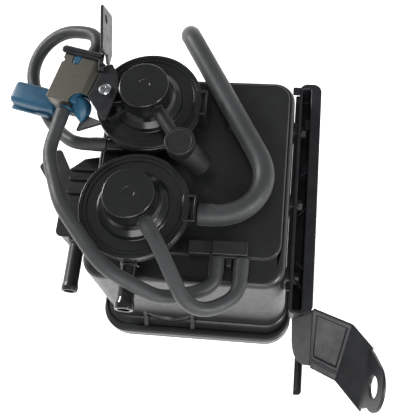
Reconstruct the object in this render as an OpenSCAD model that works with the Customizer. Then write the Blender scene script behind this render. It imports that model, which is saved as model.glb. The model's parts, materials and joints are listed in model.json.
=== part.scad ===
// Fuel-vapour charcoal canister with two diaphragm valves, a solenoid valve, hoses and a side bracket.
// Millimetres. X is the object's right, Y its back, Z up; the origin is the middle of the base.

/* [Canister] */
// Width of the moulded box
body_w = 137; // [125:1:150]
// Depth of the moulded box
body_d = 155; // [145:1:170]
// Height of the deck above the base
body_h = 118; // [105:1:135]
// Plan corner radius of the box
body_r = 15; // [8:1:20]
// Moulded wall thickness
wall = 2.5; // [2:0.1:3.5]
// Height of the raised plateau on the deck
deck_step = 1.5; // [1:0.1:3]
// Front edge of the plateau, back from the front wall
shelf_d = 19; // [12:0.5:22]
// Height of one weld flange layer
flange_h = 9; // [6:0.5:12]
// Flange overhang at the sides and the back
flange_side = 5.5; // [4:0.5:8]
// Flange overhang at the front
flange_front = 13; // [8:0.5:15]
// Thickness of the outside gusset ribs
rib_t = 3; // [2:0.1:5]

/* [Carbon pack] */
// Where the partition between the two beds stands
split_x = 12; // [0:1:25]
// Foam filter thickness
filter_t = 4; // [2:0.5:6]
// Retainer plate thickness
retainer_t = 3; // [2:0.5:4]
// Height of the springs under the retainer plates
bed_spring_h = 17; // [14:1:20]
// Space over the upper filters
header_h = 5.5; // [4:0.5:8]
// Gap between stacked pieces and the walls
pack_gap = 0.1; // [0.05:0.05:0.4]

/* [Valves] */
// Left-right place of both valves
valve_x = -32.5; // [-36:0.5:-30]
// Front-back place of the first valve
valve_1_y = -33; // [-34:0.5:-32]
// Gap between the two valves' rims
valve_gap = 4; // [2:0.5:9]
// Radius of the clamp rim
rim_r = 37; // [36:0.1:38]
// Radius of the lower housing
cup_r = 30; // [28:0.5:32]
// Radius of the cap
cap_r = 16.8; // [15:0.1:18]
// Height of the joint between housing and cover, above the deck
joint_z = 15.5; // [14.5:0.1:16.5]
// Thickness of the cover's rim
cover_rim_t = 5; // [4:0.1:6]
// Height of the cap's top above the deck
cap_top = 41; // [38:0.5:44]
// Gap between the diaphragm and the pieces round it
seal_gap = 0.1; // [0.05:0.05:0.3]
// Plan direction of the cap nipples
nipple_turn = -54; // [-58:1:-50]

/* [Ports] */
// Outside radius of the small nipples
nipple_r = 3; // [2.5:0.1:3.5]
// Bore radius of the small nipples
nipple_bore = 1.8; // [1.2:0.1:2]
// Length of the small nipples
nipple_l = 13; // [10:0.5:16]
// Outside radius of the pipe stubs
stub_r = 5.2; // [4.5:0.1:6]
// Bore radius of the pipe stubs
stub_bore = 3.6; // [2.8:0.1:4]
// Free length of the pipe stubs
stub_l = 38; // [30:1:45]
// Outside radius of the large nipple
big_nipple_r = 4.5; // [4:0.1:5]
// Bore radius of the large nipple
big_nipple_bore = 3; // [2:0.1:3.5]

/* [Hoses] */
// Outside radius of the small hoses
hose_r = 5; // [4.5:0.1:5.5]
// Outside radius of the main hose
main_hose_r = 7.5; // [6.5:0.1:8.5]
// Stretch gap between a hose and its nipple
hose_gap = 0.05; // [0.02:0.01:0.2]
// Gap between a hose's end and the shoulder behind it
hose_stop = 0.4; // [0.2:0.1:1]

/* [Solenoid] */
// Plan turn of the solenoid
sol_turn = -13; // [-16:1:-10]
// Half length of the coil frame
yoke_half_l = 18.3; // [17:0.1:19.5]
// Half width of the coil frame
yoke_half_w = 13.6; // [12.5:0.1:14.5]
// Sheet thickness of the coil frame
yoke_t = 1.6; // [1.2:0.1:2]
// Radius of the coil moulding
coil_r = 11.2; // [10.8:0.1:11.5]
// Radius of the plunger bore
plunger_bore = 5; // [4.8:0.1:5.2]
// Running gap round the plunger
plunger_gap = 0.08; // [0.04:0.01:0.1]
// Stroke of the plunger
plunger_stroke = 1.5; // [1:0.1:1.8]
// Width of the connector
plug_w = 17; // [15:0.5:19]
// Height of the connector
plug_h = 13; // [11:0.5:14]
// Length of the connector
plug_l = 27; // [22:0.5:30]
// Depth of the connector's socket
socket_d = 16; // [12:0.5:18]

/* [Solenoid bracket] */
// Sheet thickness of the solenoid bracket
sol_bracket_t = 2; // [1.5:0.1:2.5]
// Hole radius in the tab
tab_hole_r = 3; // [2.5:0.1:3.5]
// Head radius of the bracket screw
screw_head_r = 4.3; // [4:0.1:5]
// Thread radius of the bracket screw
screw_r = 2.5; // [2:0.1:3]

/* [Side bracket] */
// Sheet thickness of the side bracket
sheet_t = 2.3; // [1.8:0.1:2.8]
// Gap between the box and the rail
rail_gap = 3; // [2:0.5:4]
// Width of the rail's trough
trough_w = 10.5; // [9:0.5:13]
// Width of the flange beside the trough
rail_flange = 5.5; // [4:0.5:8]
// Drop from the deck's edge to the top of the rail
rail_drop = 16; // [12:1:20]
// Depth of the trough
trough_d = 22; // [16:1:28]
// Slope of the arm's first panel
arm_slope = 30; // [24:1:34]
// Fold between the arm's panels
arm_fold = 35; // [28:1:38]
// Fold between the arm and its lug
lug_fold = 42; // [36:1:46]
// Hole radius in the lug
lug_hole_r = 7; // [6:0.1:8]
// Radius of the lug
lug_r = 15.5; // [14:0.5:18]

/* [Hidden] */
$fn = 64;
hose_sides = 12;
bend_step = 12;
eps = 0.01;
cut = 1;

// Box
box_floor = 3;
deck_z = body_h + deck_step;
in_w = body_w - 2 * wall;
in_d = body_d - 2 * wall;
in_r = body_r - wall;
flange_w = body_w + 2 * flange_side;
flange_d = body_d + flange_side + flange_front;
flange_y = (flange_side - flange_front) / 2;
flange_r = body_r + flange_side;
weld_z = flange_h;
wall_x = body_w / 2;
wall_y = body_d / 2;
plateau_inset = 4.5;
header_z = body_h - wall - header_h;
split_clear = 16;
header_ribs = [-50, -30, -10, 30, 50];
gusset_xs = [-39.5, -3];
gusset_in = 4;
gusset_h = 11;
kerb_h = 4.5;
kerb_d = 4;

// Carbon pack heights
retainer_z = box_floor + bed_spring_h;
low_filter_z = retainer_z + retainer_t + pack_gap;
bed_z = low_filter_z + filter_t + pack_gap;
up_filter_z = header_z - filter_t - pack_gap;
bed_top = up_filter_z - pack_gap;
split_l = split_x - wall / 2 - pack_gap;
split_r = split_x + wall / 2 + pack_gap;
bed_half_w = in_w / 2 - pack_gap;
retainer_hole_r = 4;
retainer_pitch = 17;
retainer_rows = 3;
bed_spring_r = 8;
bed_wire_r = 0.9;
bed_spring_y = 42;
bed_spring_turns = 4;
tank_mid = (split_l - bed_half_w) / 2;
air_mid = (split_r + bed_half_w) / 2;

// Side chamber, hose guide and front stub on the left
chamber_top = body_h - 10;
chamber_h = 38;
chamber_w = 23;
chamber_x = -wall_x - chamber_w;
chamber_front = -46;
chamber_step_y = 1.5;
chamber_mid = [-wall_x - 11.5, 11.5];
chamber_back = 14;
stub_1_x = -wall_x - 10;
stub_1_z = chamber_top - 8;
bead_h = 0.6;
bead_w = 3;
bead_in = 5;
collar_h = 1.4;
collar_l = 4;
guide_t = 2.5;
guide_z = chamber_top - 10;
guide_plan = [[wall, 0], [-12, 25], [-26, 9], [-12, -10], [wall, -16]];
roof_ribs = [3, -4.5, -15];
roof_rib_t = 1.8;
roof_rib_h = 2;
roof_rib_in = 2;

// Port block
block_w = 39.5;
block_d = 9.5;
block_h = 12.5;
block_x = 4;
block_back = 27;
block_y = valve_1_y - block_back;
ledge_left = 2;
ledge_right = 3;
ledge_d = 2.5;
ledge_drop = 4;
port_z = body_h + 6;
port_b_x = 23.6;
port_c_x = 39.7;
port_depth = 7;

// Valve housing and cover
valve_2_y = valve_1_y + 2 * rim_r + valve_gap;
cup_floor = 2.5;
cup_wall = 2.5;
cup_neck_z = 8.5;
rim_low_z = 11;
seat_r = 9;
seat_bore = 6.5;
seat_z = joint_z - 4;
bead_seat_r = rim_r - 4;
bead_seat_z = joint_z - 1.2;
cup_in_r = cup_r - cup_wall;
cover_in_r = rim_r - 8;
ear_reach = rim_r + 4;
ear_in = bead_seat_r + 0.5;
ear_w = 19;
ear_z = 2;
big_port_z = 9.5;
big_port_in = cup_in_r + 0.5;
big_nipple_l = 14;
stub_2_z = stub_r + collar_h + 0.3;
stub_2_in = cup_r - 1;
stub_2_port = stub_bore - 0.6;
stub_2_out = 30;
stub_2_l = rim_r + stub_2_out;
tang_y = -28.5;
tang_z = 6;
tang_in = -6;
tang_deep = 4;
tang_collar_x = -28;
tang_r = 3.6;
cap_nipple_z = 32.5;
cap_nipple_in = cap_r - 2.2;
step_r = cap_r + 5.2;
nipple_root = cap_r + 0.7;
cap_nipple_out = nipple_root + nipple_l;
boss_reach = 28;
boss_r = 5;
boss_top = 29.9;
boss_floor = 18;
boss_hole_d = 9;
rim_top = joint_z + cover_rim_t;
rim_ease = 0.7;
groove_out = rim_r - 3.4;
groove_d = 1.5;
groove_ease = 0.6;
skirt_r = step_r + 1.5;
skirt_rise = 1;
shoulder_z = 26;
neck_z = 27;
skirt_in = 0.6;
neck_flare = nipple_root - cap_r;
cap_ease = 1.2;
cap_mark_r = 4;
cap_mark_d = 0.5;
cover_wall = 2;

// Valve moving pieces
plate_r = 15.5;
plate_t = 1.5;
dia_t = 1;
dia_flat_r = 17;
fold_in = 2.5;
fold_r = 5.5;
fold_h = 0.9;
fold_t = 1.1;
fold_ease = 0.2;
dia_z = seat_z + seal_gap;
plate_z = dia_z + dia_t + seal_gap;
plate_boss_r = 9.4;
plate_boss_h = 2;
cap_roof = 3;
valve_spring_r = 11;
valve_wire_r = 0.7;
valve_spring_turns = 6;
valve_spring_z = plate_z + plate_t + seal_gap;
valve_spring_h = cap_top - cap_roof - seal_gap - valve_spring_z;

// Vent cap
vent_reach = rim_r + 10.5;
vent_r = 10.2;
vent_low_r = 8.8;
vent_t = 2;
vent_base = 25;
vent_lip = 1;
vent_top = cap_nipple_z + 5;
vent_drop = [12.1, -4.6, -16];
sleeve_r = 4.5;

// Solenoid
sol_left = 51.9;
sol_behind = 9;
sol_lift = 18.5;
sol_pos = [valve_x - sol_left, valve_2_y + sol_behind, deck_z + sol_lift];
yoke_top = 11.8;
yoke_leg_w = 22;
yoke_leg_low = -9;
yoke_notch = 3;
leg_hole_r = 4.6;
leg_gap = 0.1;
coil_half = yoke_half_l - yoke_t - leg_gap;
nose_r = 7;
nose_x = -1.6;
nose_z = 1;
nose_l = 1.5;
bulb_r = 6.4;
bulb_at = [8.8, 0.5];
bulb_l = 11;
bulb_gap = 0.9;
bulb_tip = [12.2, -1];
bulb_tip_r = 1.2;
nose_front = yoke_half_l + leg_gap + nose_l;
nose_nipple_x = -2.8;
nose_nipple_z = 2;
nose_bore_in = 1;
front_hole_r = 6.2;
front_neck_r = front_hole_r - leg_gap;
front_leg_right = 7.8;
arch_x = 3;
arch_d = 8.5;
neck_l = 1.4;
bore_stop = 2;
winding_in = 6.2;
winding_out = 9.6;
winding_half = 12;
winding_gap = 0.1;
core_front = 2;
core_gap = 0.05;
core_bore = 1.5;
core_neck_r = leg_hole_r - leg_gap;
core_shoulder = yoke_half_l + leg_gap;
core_head_t = 1.6;
core_head_w = 1.4;
core_end = core_shoulder + core_head_t + nipple_l;
stop_gap = 0.5;
plunger_back = core_front - plunger_stroke - stop_gap;
seat_clear = 1.3;
plunger_front = -coil_half + bore_stop + seat_clear;
pocket_r = 3.2;
pocket_d = 6;
plunger_spring_r = 2.3;
plunger_wire_r = 0.35;
plunger_turns = 5;
lug_slot = [8, 4];
lug_slot_at = [-3.4, 13.8];
lug_h = 4.6;
lug_slot_gap = 0.15;
plug_y = -12.5;
plug_z = -8;
plug_x = -49;
plug_wall = 1.8;
plug_corner = 3;
arm_y = -9.4;
arm_w = 10.2;
arm_h = 9;
arm_reach = -4;
rail_lip = 1.6;
rail_lip_w = 3;
rail_lip_l = 22;
rail_lip_in = 1;
blade = [11, 2.4, 0.8];
blade_root = 3;
blade_pitch = 5;

// Solenoid bracket
plate_level = deck_z + boss_top;
screw_at = [valve_x - boss_reach, valve_2_y];
tab_x = screw_at.x - 6.5;
tab_back = 59;
tab_front = 26;
tab_h = 23;
tab_low = 1.5;
tab_hole = [50, 13];
tab_tip = 9;
bar_r = 3;
bar_half = 15;
bar_y = 19.5;
bar_side = 2;
plate_side = yoke_half_w + leg_gap;
plate_back = 13;
plate_front = -14;
plate_round = screw_head_r + 3.2;
plate_tip = [-23, -28.5];
plate_low = [-2, -22];
plate_right = [7.2, -2];
plate_top = [3, 6.8];
post = [4, 5];
post_at = [0.4, -4];
web_back = 4;
web_front = 6;
web_reach = 5.5;
tab_slant = 2;
tab_shoulder = [4, 3];
tab_corner = [6, 8];
screw_head_h = 2.6;
screw_dome = 0.8;
screw_ease = 1.2;
screw_l = 8;
drive_r = 1.4;
drive_d = 1.4;

// Side bracket
rail_x = wall_x + rail_gap;
rail_z = body_h - rail_drop;
rail_back = 84;
rail_front = -88;
trough_r = 4;
rail_out = rail_x + trough_w + rail_flange;
rail_corner = 6;
arm_root = [rail_x + trough_w + 2, -86, rail_z - 1];
arm_edge = [1.5, -36.8];
brace_hinge = 4;
brace_fold = 56.5;
fold_r_in = 0.2;
arm_panel = [
    [brace_hinge, arm_edge[0]], [5.5, 0.5], [29, -9.9],
    [21, -46.5], [11.7, -39.8], [brace_hinge, arm_edge[1]]
];
brace_panel = [
    [0, arm_edge[0]], [0, arm_edge[1]], [8, -39], [15, -38.2], [18.7, -35.6],
    [21, -31.5], [22.1, -26.8], [23.6, -9]
];
arm_hinge = arm_panel[2];
arm_lean = -atan((arm_panel[2].x - arm_panel[3].x) / (arm_panel[2].y - arm_panel[3].y));
wing_panel = [[0, 0], [7.2, 1.4], [18, -5.5], [23, -46], [21, -46.8], [10, -41.8], [0, -37.4]];
lug_hinge = wing_panel[2];
lug_lean = atan((wing_panel[3].x - wing_panel[2].x) / (wing_panel[2].y - wing_panel[3].y));
lug_panel = [[0, 0], [7.2, -0.8], [22, -5], [25, -32], [14, -34.6], [0, -40.8]];
lug_hole = [16.8, -19.6];
tail_front = -135.5;
tail_back = -66;
tail_w = 5.5;
tail_h = 20;
tail_x = rail_x + trough_w - 4;
tail_corner = 3;
bolt_ys = [50, -8, -62];
bolt_z = rail_z - 11;
bolt_r = 2.5;
bolt_head_r = 4.6;
bolt_head_h = 2.6;
bolt_flange_r = 5.6;
bolt_flange_h = 1;
bolt_gap = 0.2;
bolt_short = 0.5;
pad_r = 8;
tab_w = 5;
tab_l = 7;

// Hose corners: from the first valve, from the solenoid, or from the walls
main_out = 4.1;
main_back = [14.6, 61.9];
main_drop = [-4, 14.8, -21];
main_bends = [29, 14];
bypass_out = 47;
bypass_corners = [[-19.5, 53.5, -8], [-58.4, 37.4, -20], [-23.2, -18.5, -21.5]];
bypass_lead = 24.8;
bypass_bends = [12, 24, 30, 24, 14];
sol_hose_out = [-0.2, -54.4];
sol_hose_side = [10.4, -5];
sol_hose_front = [-13.3, 8.3];
sol_hose_fall = [22.9, -58.7, 8.5];
hose_clear = 1;
sol_hose_level = rim_top + hose_r + hose_clear;
sol_hose_corners = [
    [-rim_r - sol_hose_side.x, sol_hose_side.y, sol_hose_level],
    [sol_hose_front.x, -rim_r - sol_hose_front.y, sol_hose_level],
    sol_hose_fall
];
sol_hose_lead = 21.1;
sol_hose_bends = [24, 34, 34, 20, 10];
valve_hose_out = 36.5;
valve_hose_corner = [44.8, -71.1, 16.5];
valve_hose_lead = 25.4;
valve_hose_bends = [34, 17, 14];

// Vectors and frames
function unit(v) = v / norm(v);
function across(d) = unit(cross(abs(d.z) < 0.9 ? [0, 0, 1] : [1, 0, 0], d));
function frame(x, y, z, p) = [
    [x.x, y.x, z.x, p.x],
    [x.y, y.y, z.y, p.y],
    [x.z, y.z, z.z, p.z],
    [0, 0, 0, 1]
];
function plan(a, r) = [r * cos(a), r * sin(a)];
function on_valve(y, p, z) = [valve_x + p.x, y + p.y, deck_z + z];
function off_valve(y, p) = on_valve(y, p, p.z);
function on_solenoid(p) = [
    sol_pos.x + p.x * cos(sol_turn) - p.y * sin(sol_turn),
    sol_pos.y + p.x * sin(sol_turn) + p.y * cos(sol_turn),
    sol_pos.z + p.z
];

// Plan shapes
module rounded_rect(w, d, r) {
    square([w - 2 * r, d], center = true);
    square([w, d - 2 * r], center = true);
    for (sx = [-1, 1], sy = [-1, 1])
        translate([sx * (w / 2 - r), sy * (d / 2 - r)])
            circle(r);
}

module slab(w, d, r, z0, z1) {
    translate([0, 0, z0])
        linear_extrude(z1 - z0)
            rounded_rect(w, d, r);
}

module box(p, q) {
    translate(p)
        cube(q - p);
}

module rod(p, q, r) {
    d = unit(q - p);
    x = across(d);
    multmatrix(frame(x, cross(d, x), d, p))
        cylinder(h = norm(q - p), r = r);
}

module taper(p, q, r1, r2) {
    d = unit(q - p);
    x = across(d);
    multmatrix(frame(x, cross(d, x), d, p))
        cylinder(h = norm(q - p), r1 = r1, r2 = r2);
}

// Hose runs: straights with one round bend at each inner corner
function way(pts, i) = unit(pts[i + 1] - pts[i]);
function turn_at(pts, i) = acos(way(pts, i - 1) * way(pts, i));
function trim_at(pts, radii, i) =
    i == 0 || i == len(pts) - 1 ? 0 : radii[i - 1] * tan(turn_at(pts, i) / 2);

function bend_steps(pts, i) = max(2, ceil(turn_at(pts, i) / bend_step));
function bend_pts(pts, radii, i) = let (
        d = way(pts, i - 1), e = way(pts, i), r = radii[i - 1], m = unit(e - (d * e) * d),
        n = bend_steps(pts, i), s = pts[i] - d * trim_at(pts, radii, i))
    [for (k = [0:n]) let (t = turn_at(pts, i) * k / n) s + r * (m * (1 - cos(t)) + d * sin(t))];
function bend_ways(pts, i) = let (
        d = way(pts, i - 1), e = way(pts, i), m = unit(e - (d * e) * d), n = bend_steps(pts, i))
    [for (k = [0:n]) let (t = turn_at(pts, i) * k / n) d * cos(t) + m * sin(t)];
function run_pts(pts, radii) = [
    pts[0],
    for (i = [1:len(pts) - 2]) each bend_pts(pts, radii, i),
    pts[len(pts) - 1]
];
function run_ways(pts) = [
    way(pts, 0),
    for (i = [1:len(pts) - 2]) each bend_ways(pts, i),
    way(pts, len(pts) - 2)
];
function carried(d) = [for (
    i = 0, x = across(d[0]);
    i < len(d);
    i = i + 1, x = i < len(d) ? unit(x - (x * d[i]) * d[i]) : x) x];
function ring_pts(c, d, x, r) = [for (i = [0:len(c) - 1], j = [0:hose_sides - 1])
    let (t = 360 * j / hose_sides) c[i] + r * (x[i] * cos(t) + cross(d[i], x[i]) * sin(t))];

// A hollow hose through the corner points, with one bend radius for each inner corner
module hose(pts, radii, r, bore) {
    c = run_pts(pts, radii);
    d = run_ways(pts);
    x = carried(d);
    n = len(c);
    h = hose_sides;
    o = n * h;
    e = (n - 1) * h;
    walls = [for (i = [0:n - 2], j = [0:h - 1])
        let (a = i * h + j, b = i * h + (j + 1) % h)
        each [
            [a, a + h, b], [b, a + h, b + h],
            [o + a, o + b, o + a + h], [o + b, o + b + h, o + a + h]
        ]];
    ends = [for (j = [0:h - 1])
        let (a = j, b = (j + 1) % h)
        each [
            [a, b, o + b], [a, o + b, o + a],
            [e + b, e + a, o + e + a], [e + b, o + e + a, o + e + b]
        ]];
    polyhedron(
        points = concat(ring_pts(c, d, x, r), ring_pts(c, d, x, bore / cos(180 / h))),
        faces = concat(walls, ends),
        convexity = 10);
}

// A round-wire spring that stands on z = 0
module coil_spring(r, wire_r, h, turns) {
    sides = 6;
    steps = 12;
    n = turns * steps;
    pts = [for (i = [0:n], j = [0:sides - 1])
        let (a = 360 * i / steps, b = 360 * j / sides, q = r + wire_r * cos(b))
        [q * cos(a), q * sin(a), wire_r + (h - 2 * wire_r) * i / n + wire_r * sin(b)]];
    walls = [for (i = [0:n - 1], j = [0:sides - 1], k = [0, 1])
        let (a = i * sides + j, b = i * sides + (j + 1) % sides)
        k == 0 ? [a, b, a + sides] : [b, b + sides, a + sides]];
    ends = [
        [for (j = [0:sides - 1]) sides - 1 - j],
        [for (j = [0:sides - 1]) n * sides + j]
    ];
    polyhedron(points = pts, faces = concat(walls, ends), convexity = 10);
}

// A pipe stub along -Y with a root collar and a hose bead
module stub(x, y0, y1, z) {
    difference() {
        union() {
            rod([x, y0, z], [x, y1, z], stub_r);
            rod([x, y0, z], [x, y0 - collar_l, z], stub_r + collar_h);
            translate([x, y1 + bead_in, z])
                rotate([90, 0, 0])
                    cylinder(h = bead_w, r1 = stub_r + bead_h, r2 = stub_r);
        }
        rod([x, y0 + cut, z], [x, y1 - cut, z], stub_bore);
    }
}

// Canister

module flange_layer(z0, z1) {
    translate([0, flange_y, 0])
        slab(flange_w, flange_d, flange_r, z0, z1);
}

module chamber_plan() {
    polygon([
        [-wall_x + eps, chamber_back], [chamber_mid.x, chamber_mid.y],
        [chamber_x, chamber_step_y], [chamber_x, chamber_front], [-wall_x + eps, chamber_front]
    ]);
}

module side_chamber() {
    translate([0, 0, chamber_top - chamber_h])
        linear_extrude(chamber_h)
            chamber_plan();
    for (y = roof_ribs)
        box([chamber_x + roof_rib_in, y, chamber_top - eps],
            [-wall_x + eps, y + roof_rib_t, chamber_top + roof_rib_h]);
    translate([0, 0, guide_z])
        linear_extrude(guide_t)
            polygon([for (p = guide_plan) [chamber_x + p.x, p.y]]);
}

module chamber_hollow() {
    box([chamber_x + wall, chamber_front + wall, chamber_top - chamber_h + wall],
        [-wall_x + wall + cut, chamber_step_y - wall, chamber_top - wall]);
    rod([stub_1_x, chamber_front + wall + cut, stub_1_z],
        [stub_1_x, chamber_front - cut, stub_1_z], stub_bore);
}

module port_block() {
    box([block_x, block_y, body_h - wall], [block_x + block_w, block_y + block_d, body_h + block_h]);
    box([block_x + ledge_left, block_y + block_d - eps, body_h - wall],
        [block_x + block_w - ledge_right, block_y + block_d + ledge_d, body_h + block_h - ledge_drop]);
    for (x = [port_b_x, port_c_x])
        rod([x, block_y + eps, port_z], [x, block_y - nipple_l, port_z], nipple_r);
}

module front_gussets() {
    low = 2 * flange_h - eps;
    for (x = gusset_xs)
        box([x, -wall_y - flange_front + gusset_in, low], [x + rib_t, -wall_y + eps, low + gusset_h]);
    box([gusset_xs[0], -wall_y - kerb_d, low], [gusset_xs[1] + rib_t, -wall_y + eps, low + kerb_h]);
}

module rail_pads() {
    for (y = bolt_ys)
        rod([wall_x - eps, y, bolt_z], [rail_x, y, bolt_z], pad_r);
}

module canister_body() {
    color("#202122")
        difference() {
            union() {
                slab(body_w, body_d, body_r, weld_z, body_h);
                translate([0, shelf_d / 2, 0])
                    slab(body_w - 2 * plateau_inset, body_d - shelf_d - 2 * plateau_inset,
                        body_r - plateau_inset, body_h - eps, deck_z);
                flange_layer(weld_z, 2 * flange_h);
                side_chamber();
                port_block();
                front_gussets();
                rail_pads();
                stub(stub_1_x, chamber_front + eps, chamber_front - stub_l, stub_1_z);
            }
            difference() {
                slab(in_w, in_d, in_r, weld_z - cut, body_h - wall);
                box([split_x - wall / 2, -wall_y, bed_z - split_clear],
                    [split_x + wall / 2, wall_y, body_h]);
                for (x = header_ribs)
                    box([x, -wall_y, header_z], [x + wall, wall_y, body_h]);
            }
            chamber_hollow();
            for (y = [valve_1_y, valve_2_y])
                rod([valve_x, y, header_z], [valve_x, y, deck_z + cut], seat_bore);
            for (x = [port_b_x, port_c_x])
                rod([x, block_y + port_depth, port_z], [x, block_y - nipple_l - cut, port_z], nipple_bore);
            for (y = bolt_ys)
                rod([wall_x - wall - cut, y, bolt_z], [rail_x + cut, y, bolt_z], bolt_r);
        }
}

module base_cover() {
    color("#1c1d1e")
        difference() {
            flange_layer(0, weld_z);
            slab(in_w, in_d, in_r, box_floor, weld_z + cut);
        }
}

// Carbon pack

module layer(x0, x1, z0, z1) {
    intersection() {
        slab(in_w - 2 * pack_gap, in_d - 2 * pack_gap, in_r - pack_gap, z0, z1);
        box([x0, -wall_y, z0 - cut], [x1, wall_y, z1 + cut]);
    }
}

module retainer(x0, x1) {
    mid = (x0 + x1) / 2;
    columns = floor((x1 - x0) / 2 / retainer_pitch);
    color("#3a3a38")
        difference() {
            layer(x0, x1, retainer_z, retainer_z + retainer_t);
            for (i = [-columns + 0.5:columns - 0.5], j = [-retainer_rows:retainer_rows])
                translate([mid + i * retainer_pitch, j * retainer_pitch, retainer_z - cut])
                    cylinder(h = retainer_t + 2 * cut, r = retainer_hole_r);
        }
}

module carbon_bed_tank() {
    color("#161616")
        layer(-bed_half_w, split_l, bed_z, bed_top);
}

module carbon_bed_air() {
    color("#161616")
        layer(split_r, bed_half_w, bed_z, bed_top);
}

module upper_filter_tank() {
    color("#b9b7ac")
        layer(-bed_half_w, split_l, up_filter_z, up_filter_z + filter_t);
}

module upper_filter_air() {
    color("#b9b7ac")
        layer(split_r, bed_half_w, up_filter_z, up_filter_z + filter_t);
}

module lower_filter_tank() {
    color("#b9b7ac")
        layer(-bed_half_w, split_l, low_filter_z, low_filter_z + filter_t);
}

module lower_filter_air() {
    color("#b9b7ac")
        layer(split_r, bed_half_w, low_filter_z, low_filter_z + filter_t);
}

module retainer_tank() {
    retainer(-bed_half_w, split_l);
}

module retainer_air() {
    retainer(split_r, bed_half_w);
}

module bed_springs() {
    color("#9a9c9e")
        for (x = [tank_mid, air_mid], sy = [-1, 1])
            translate([x, sy * bed_spring_y, box_floor])
                coil_spring(bed_spring_r, bed_wire_r, bed_spring_h, bed_spring_turns);
}

// Diaphragm valves

module valve_cup() {
    rotate_extrude()
        polygon([
            [seat_bore, 0], [cup_r, 0], [cup_r, cup_neck_z], [rim_r, rim_low_z], [rim_r, joint_z],
            [bead_seat_r, joint_z], [bead_seat_r, bead_seat_z], [cup_in_r, bead_seat_z],
            [cup_in_r, cup_floor], [seat_r, cup_floor], [seat_r, seat_z], [seat_bore, seat_z]
        ]);
    box([ear_in, -ear_w / 2, ear_z], [ear_reach, ear_w / 2, joint_z]);
}

module valve_cover_shell() {
    roof = cap_top - cap_roof;
    rotate_extrude()
        polygon([
            [cover_in_r, joint_z], [rim_r, joint_z],
            [rim_r, rim_top - rim_ease], [rim_r - rim_ease, rim_top],
            [groove_out, rim_top], [groove_out - groove_ease, rim_top - groove_d],
            [skirt_r, rim_top - groove_d], [step_r, rim_top + skirt_rise],
            [cap_r + neck_flare, neck_z], [cap_r, cap_top - cap_ease], [cap_r - cap_ease, cap_top],
            [cap_mark_r, cap_top], [cap_mark_r, cap_top - cap_mark_d], [0, cap_top - cap_mark_d],
            [0, roof], [cap_r - cover_wall - neck_flare, roof],
            [cap_r - cover_wall, shoulder_z - groove_ease],
            [step_r - cover_wall - skirt_in, rim_top + skirt_in],
            [step_r - cover_wall, joint_z + cover_wall],
            [cover_in_r, joint_z + cover_wall]
        ]);
}

module cap_nipple() {
    a = plan(nipple_turn, cap_nipple_in);
    b = plan(nipple_turn, cap_nipple_out);
    rod([a.x, a.y, cap_nipple_z], [b.x, b.y, cap_nipple_z], nipple_r);
}

module cap_nipple_bore() {
    a = plan(nipple_turn, cap_nipple_in - cut);
    b = plan(nipple_turn, cap_nipple_out + cut);
    rod([a.x, a.y, cap_nipple_z], [b.x, b.y, cap_nipple_z], nipple_bore);
}

module valve_diaphragm() {
    edge = bead_seat_r - seal_gap;
    low = bead_seat_z + seal_gap;
    high = joint_z - seal_gap;
    color("#2c2c2e")
        rotate_extrude()
            polygon([
                [0, dia_z], [dia_flat_r, dia_z], [dia_flat_r + fold_in, low + fold_ease],
                [dia_flat_r + fold_r, low + fold_h], [cup_in_r - fold_in, low], [edge, low], [edge, high],
                [cup_in_r - fold_in + fold_ease, high], [dia_flat_r + fold_r, low + fold_h + fold_t],
                [dia_flat_r + fold_in - fold_t / 2, low + fold_ease + fold_t],
                [dia_flat_r - fold_t / 2, dia_z + dia_t], [0, dia_z + dia_t]
            ]);
}

module valve_plate() {
    color("#8d8f90")
        rotate_extrude()
            polygon([
                [0, plate_z], [plate_r, plate_z], [plate_r, plate_z + plate_t],
                [plate_boss_r, plate_z + plate_t], [plate_boss_r, plate_z + plate_t + plate_boss_h],
                [0, plate_z + plate_t + plate_boss_h]
            ]);
}

module valve_spring() {
    color("#a4a6a8")
        translate([0, 0, valve_spring_z])
            coil_spring(valve_spring_r, valve_wire_r, valve_spring_h, valve_spring_turns);
}

module at_valve(y) {
    translate([valve_x, y, deck_z])
        children();
}

module valve_1_body() {
    color("#1e1f20")
        at_valve(valve_1_y)
            difference() {
                union() {
                    valve_cup();
                    rod([big_port_in, 0, big_port_z],
                        [ear_reach + big_nipple_l, 0, big_port_z], big_nipple_r);
                    stub(0, -stub_2_in, -stub_2_l, stub_2_z);
                }
                rod([cup_in_r - cut, 0, big_port_z], [ear_reach + big_nipple_l + cut, 0, big_port_z],
                    big_nipple_bore);
                rod([0, -cup_in_r + cut, stub_2_z], [0, -cup_r - cut, stub_2_z], stub_2_port);
                translate([0, 0, cup_floor])
                    cylinder(h = seat_z - cup_floor + cut, r = seat_bore);
            }
}

module valve_2_body() {
    color("#1e1f20")
        at_valve(valve_2_y)
            difference() {
                union() {
                    valve_cup();
                    rod([tang_in, tang_y, tang_z], [tang_collar_x, tang_y, tang_z], tang_r);
                    rod([tang_collar_x + eps, tang_y, tang_z],
                        [tang_collar_x - nipple_l, tang_y, tang_z], nipple_r);
                }
                rod([tang_in - tang_deep, tang_y, tang_z],
                    [tang_collar_x - nipple_l - cut, tang_y, tang_z], nipple_bore);
            }
}

module valve_1_cover() {
    color("#212223")
        at_valve(valve_1_y)
            difference() {
                union() {
                    valve_cover_shell();
                    cap_nipple();
                }
                cap_nipple_bore();
            }
}

module valve_2_cover() {
    color("#212223")
        at_valve(valve_2_y)
            difference() {
                union() {
                    valve_cover_shell();
                    cap_nipple();
                    rod([-boss_reach, 0, boss_floor], [-boss_reach, 0, boss_top], boss_r);
                }
                cap_nipple_bore();
                rod([-boss_reach, 0, boss_top - boss_hole_d], [-boss_reach, 0, boss_top + cut], screw_r);
            }
}

module valve_1_diaphragm() {
    at_valve(valve_1_y)
        valve_diaphragm();
}

module valve_2_diaphragm() {
    at_valve(valve_2_y)
        valve_diaphragm();
}

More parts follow.
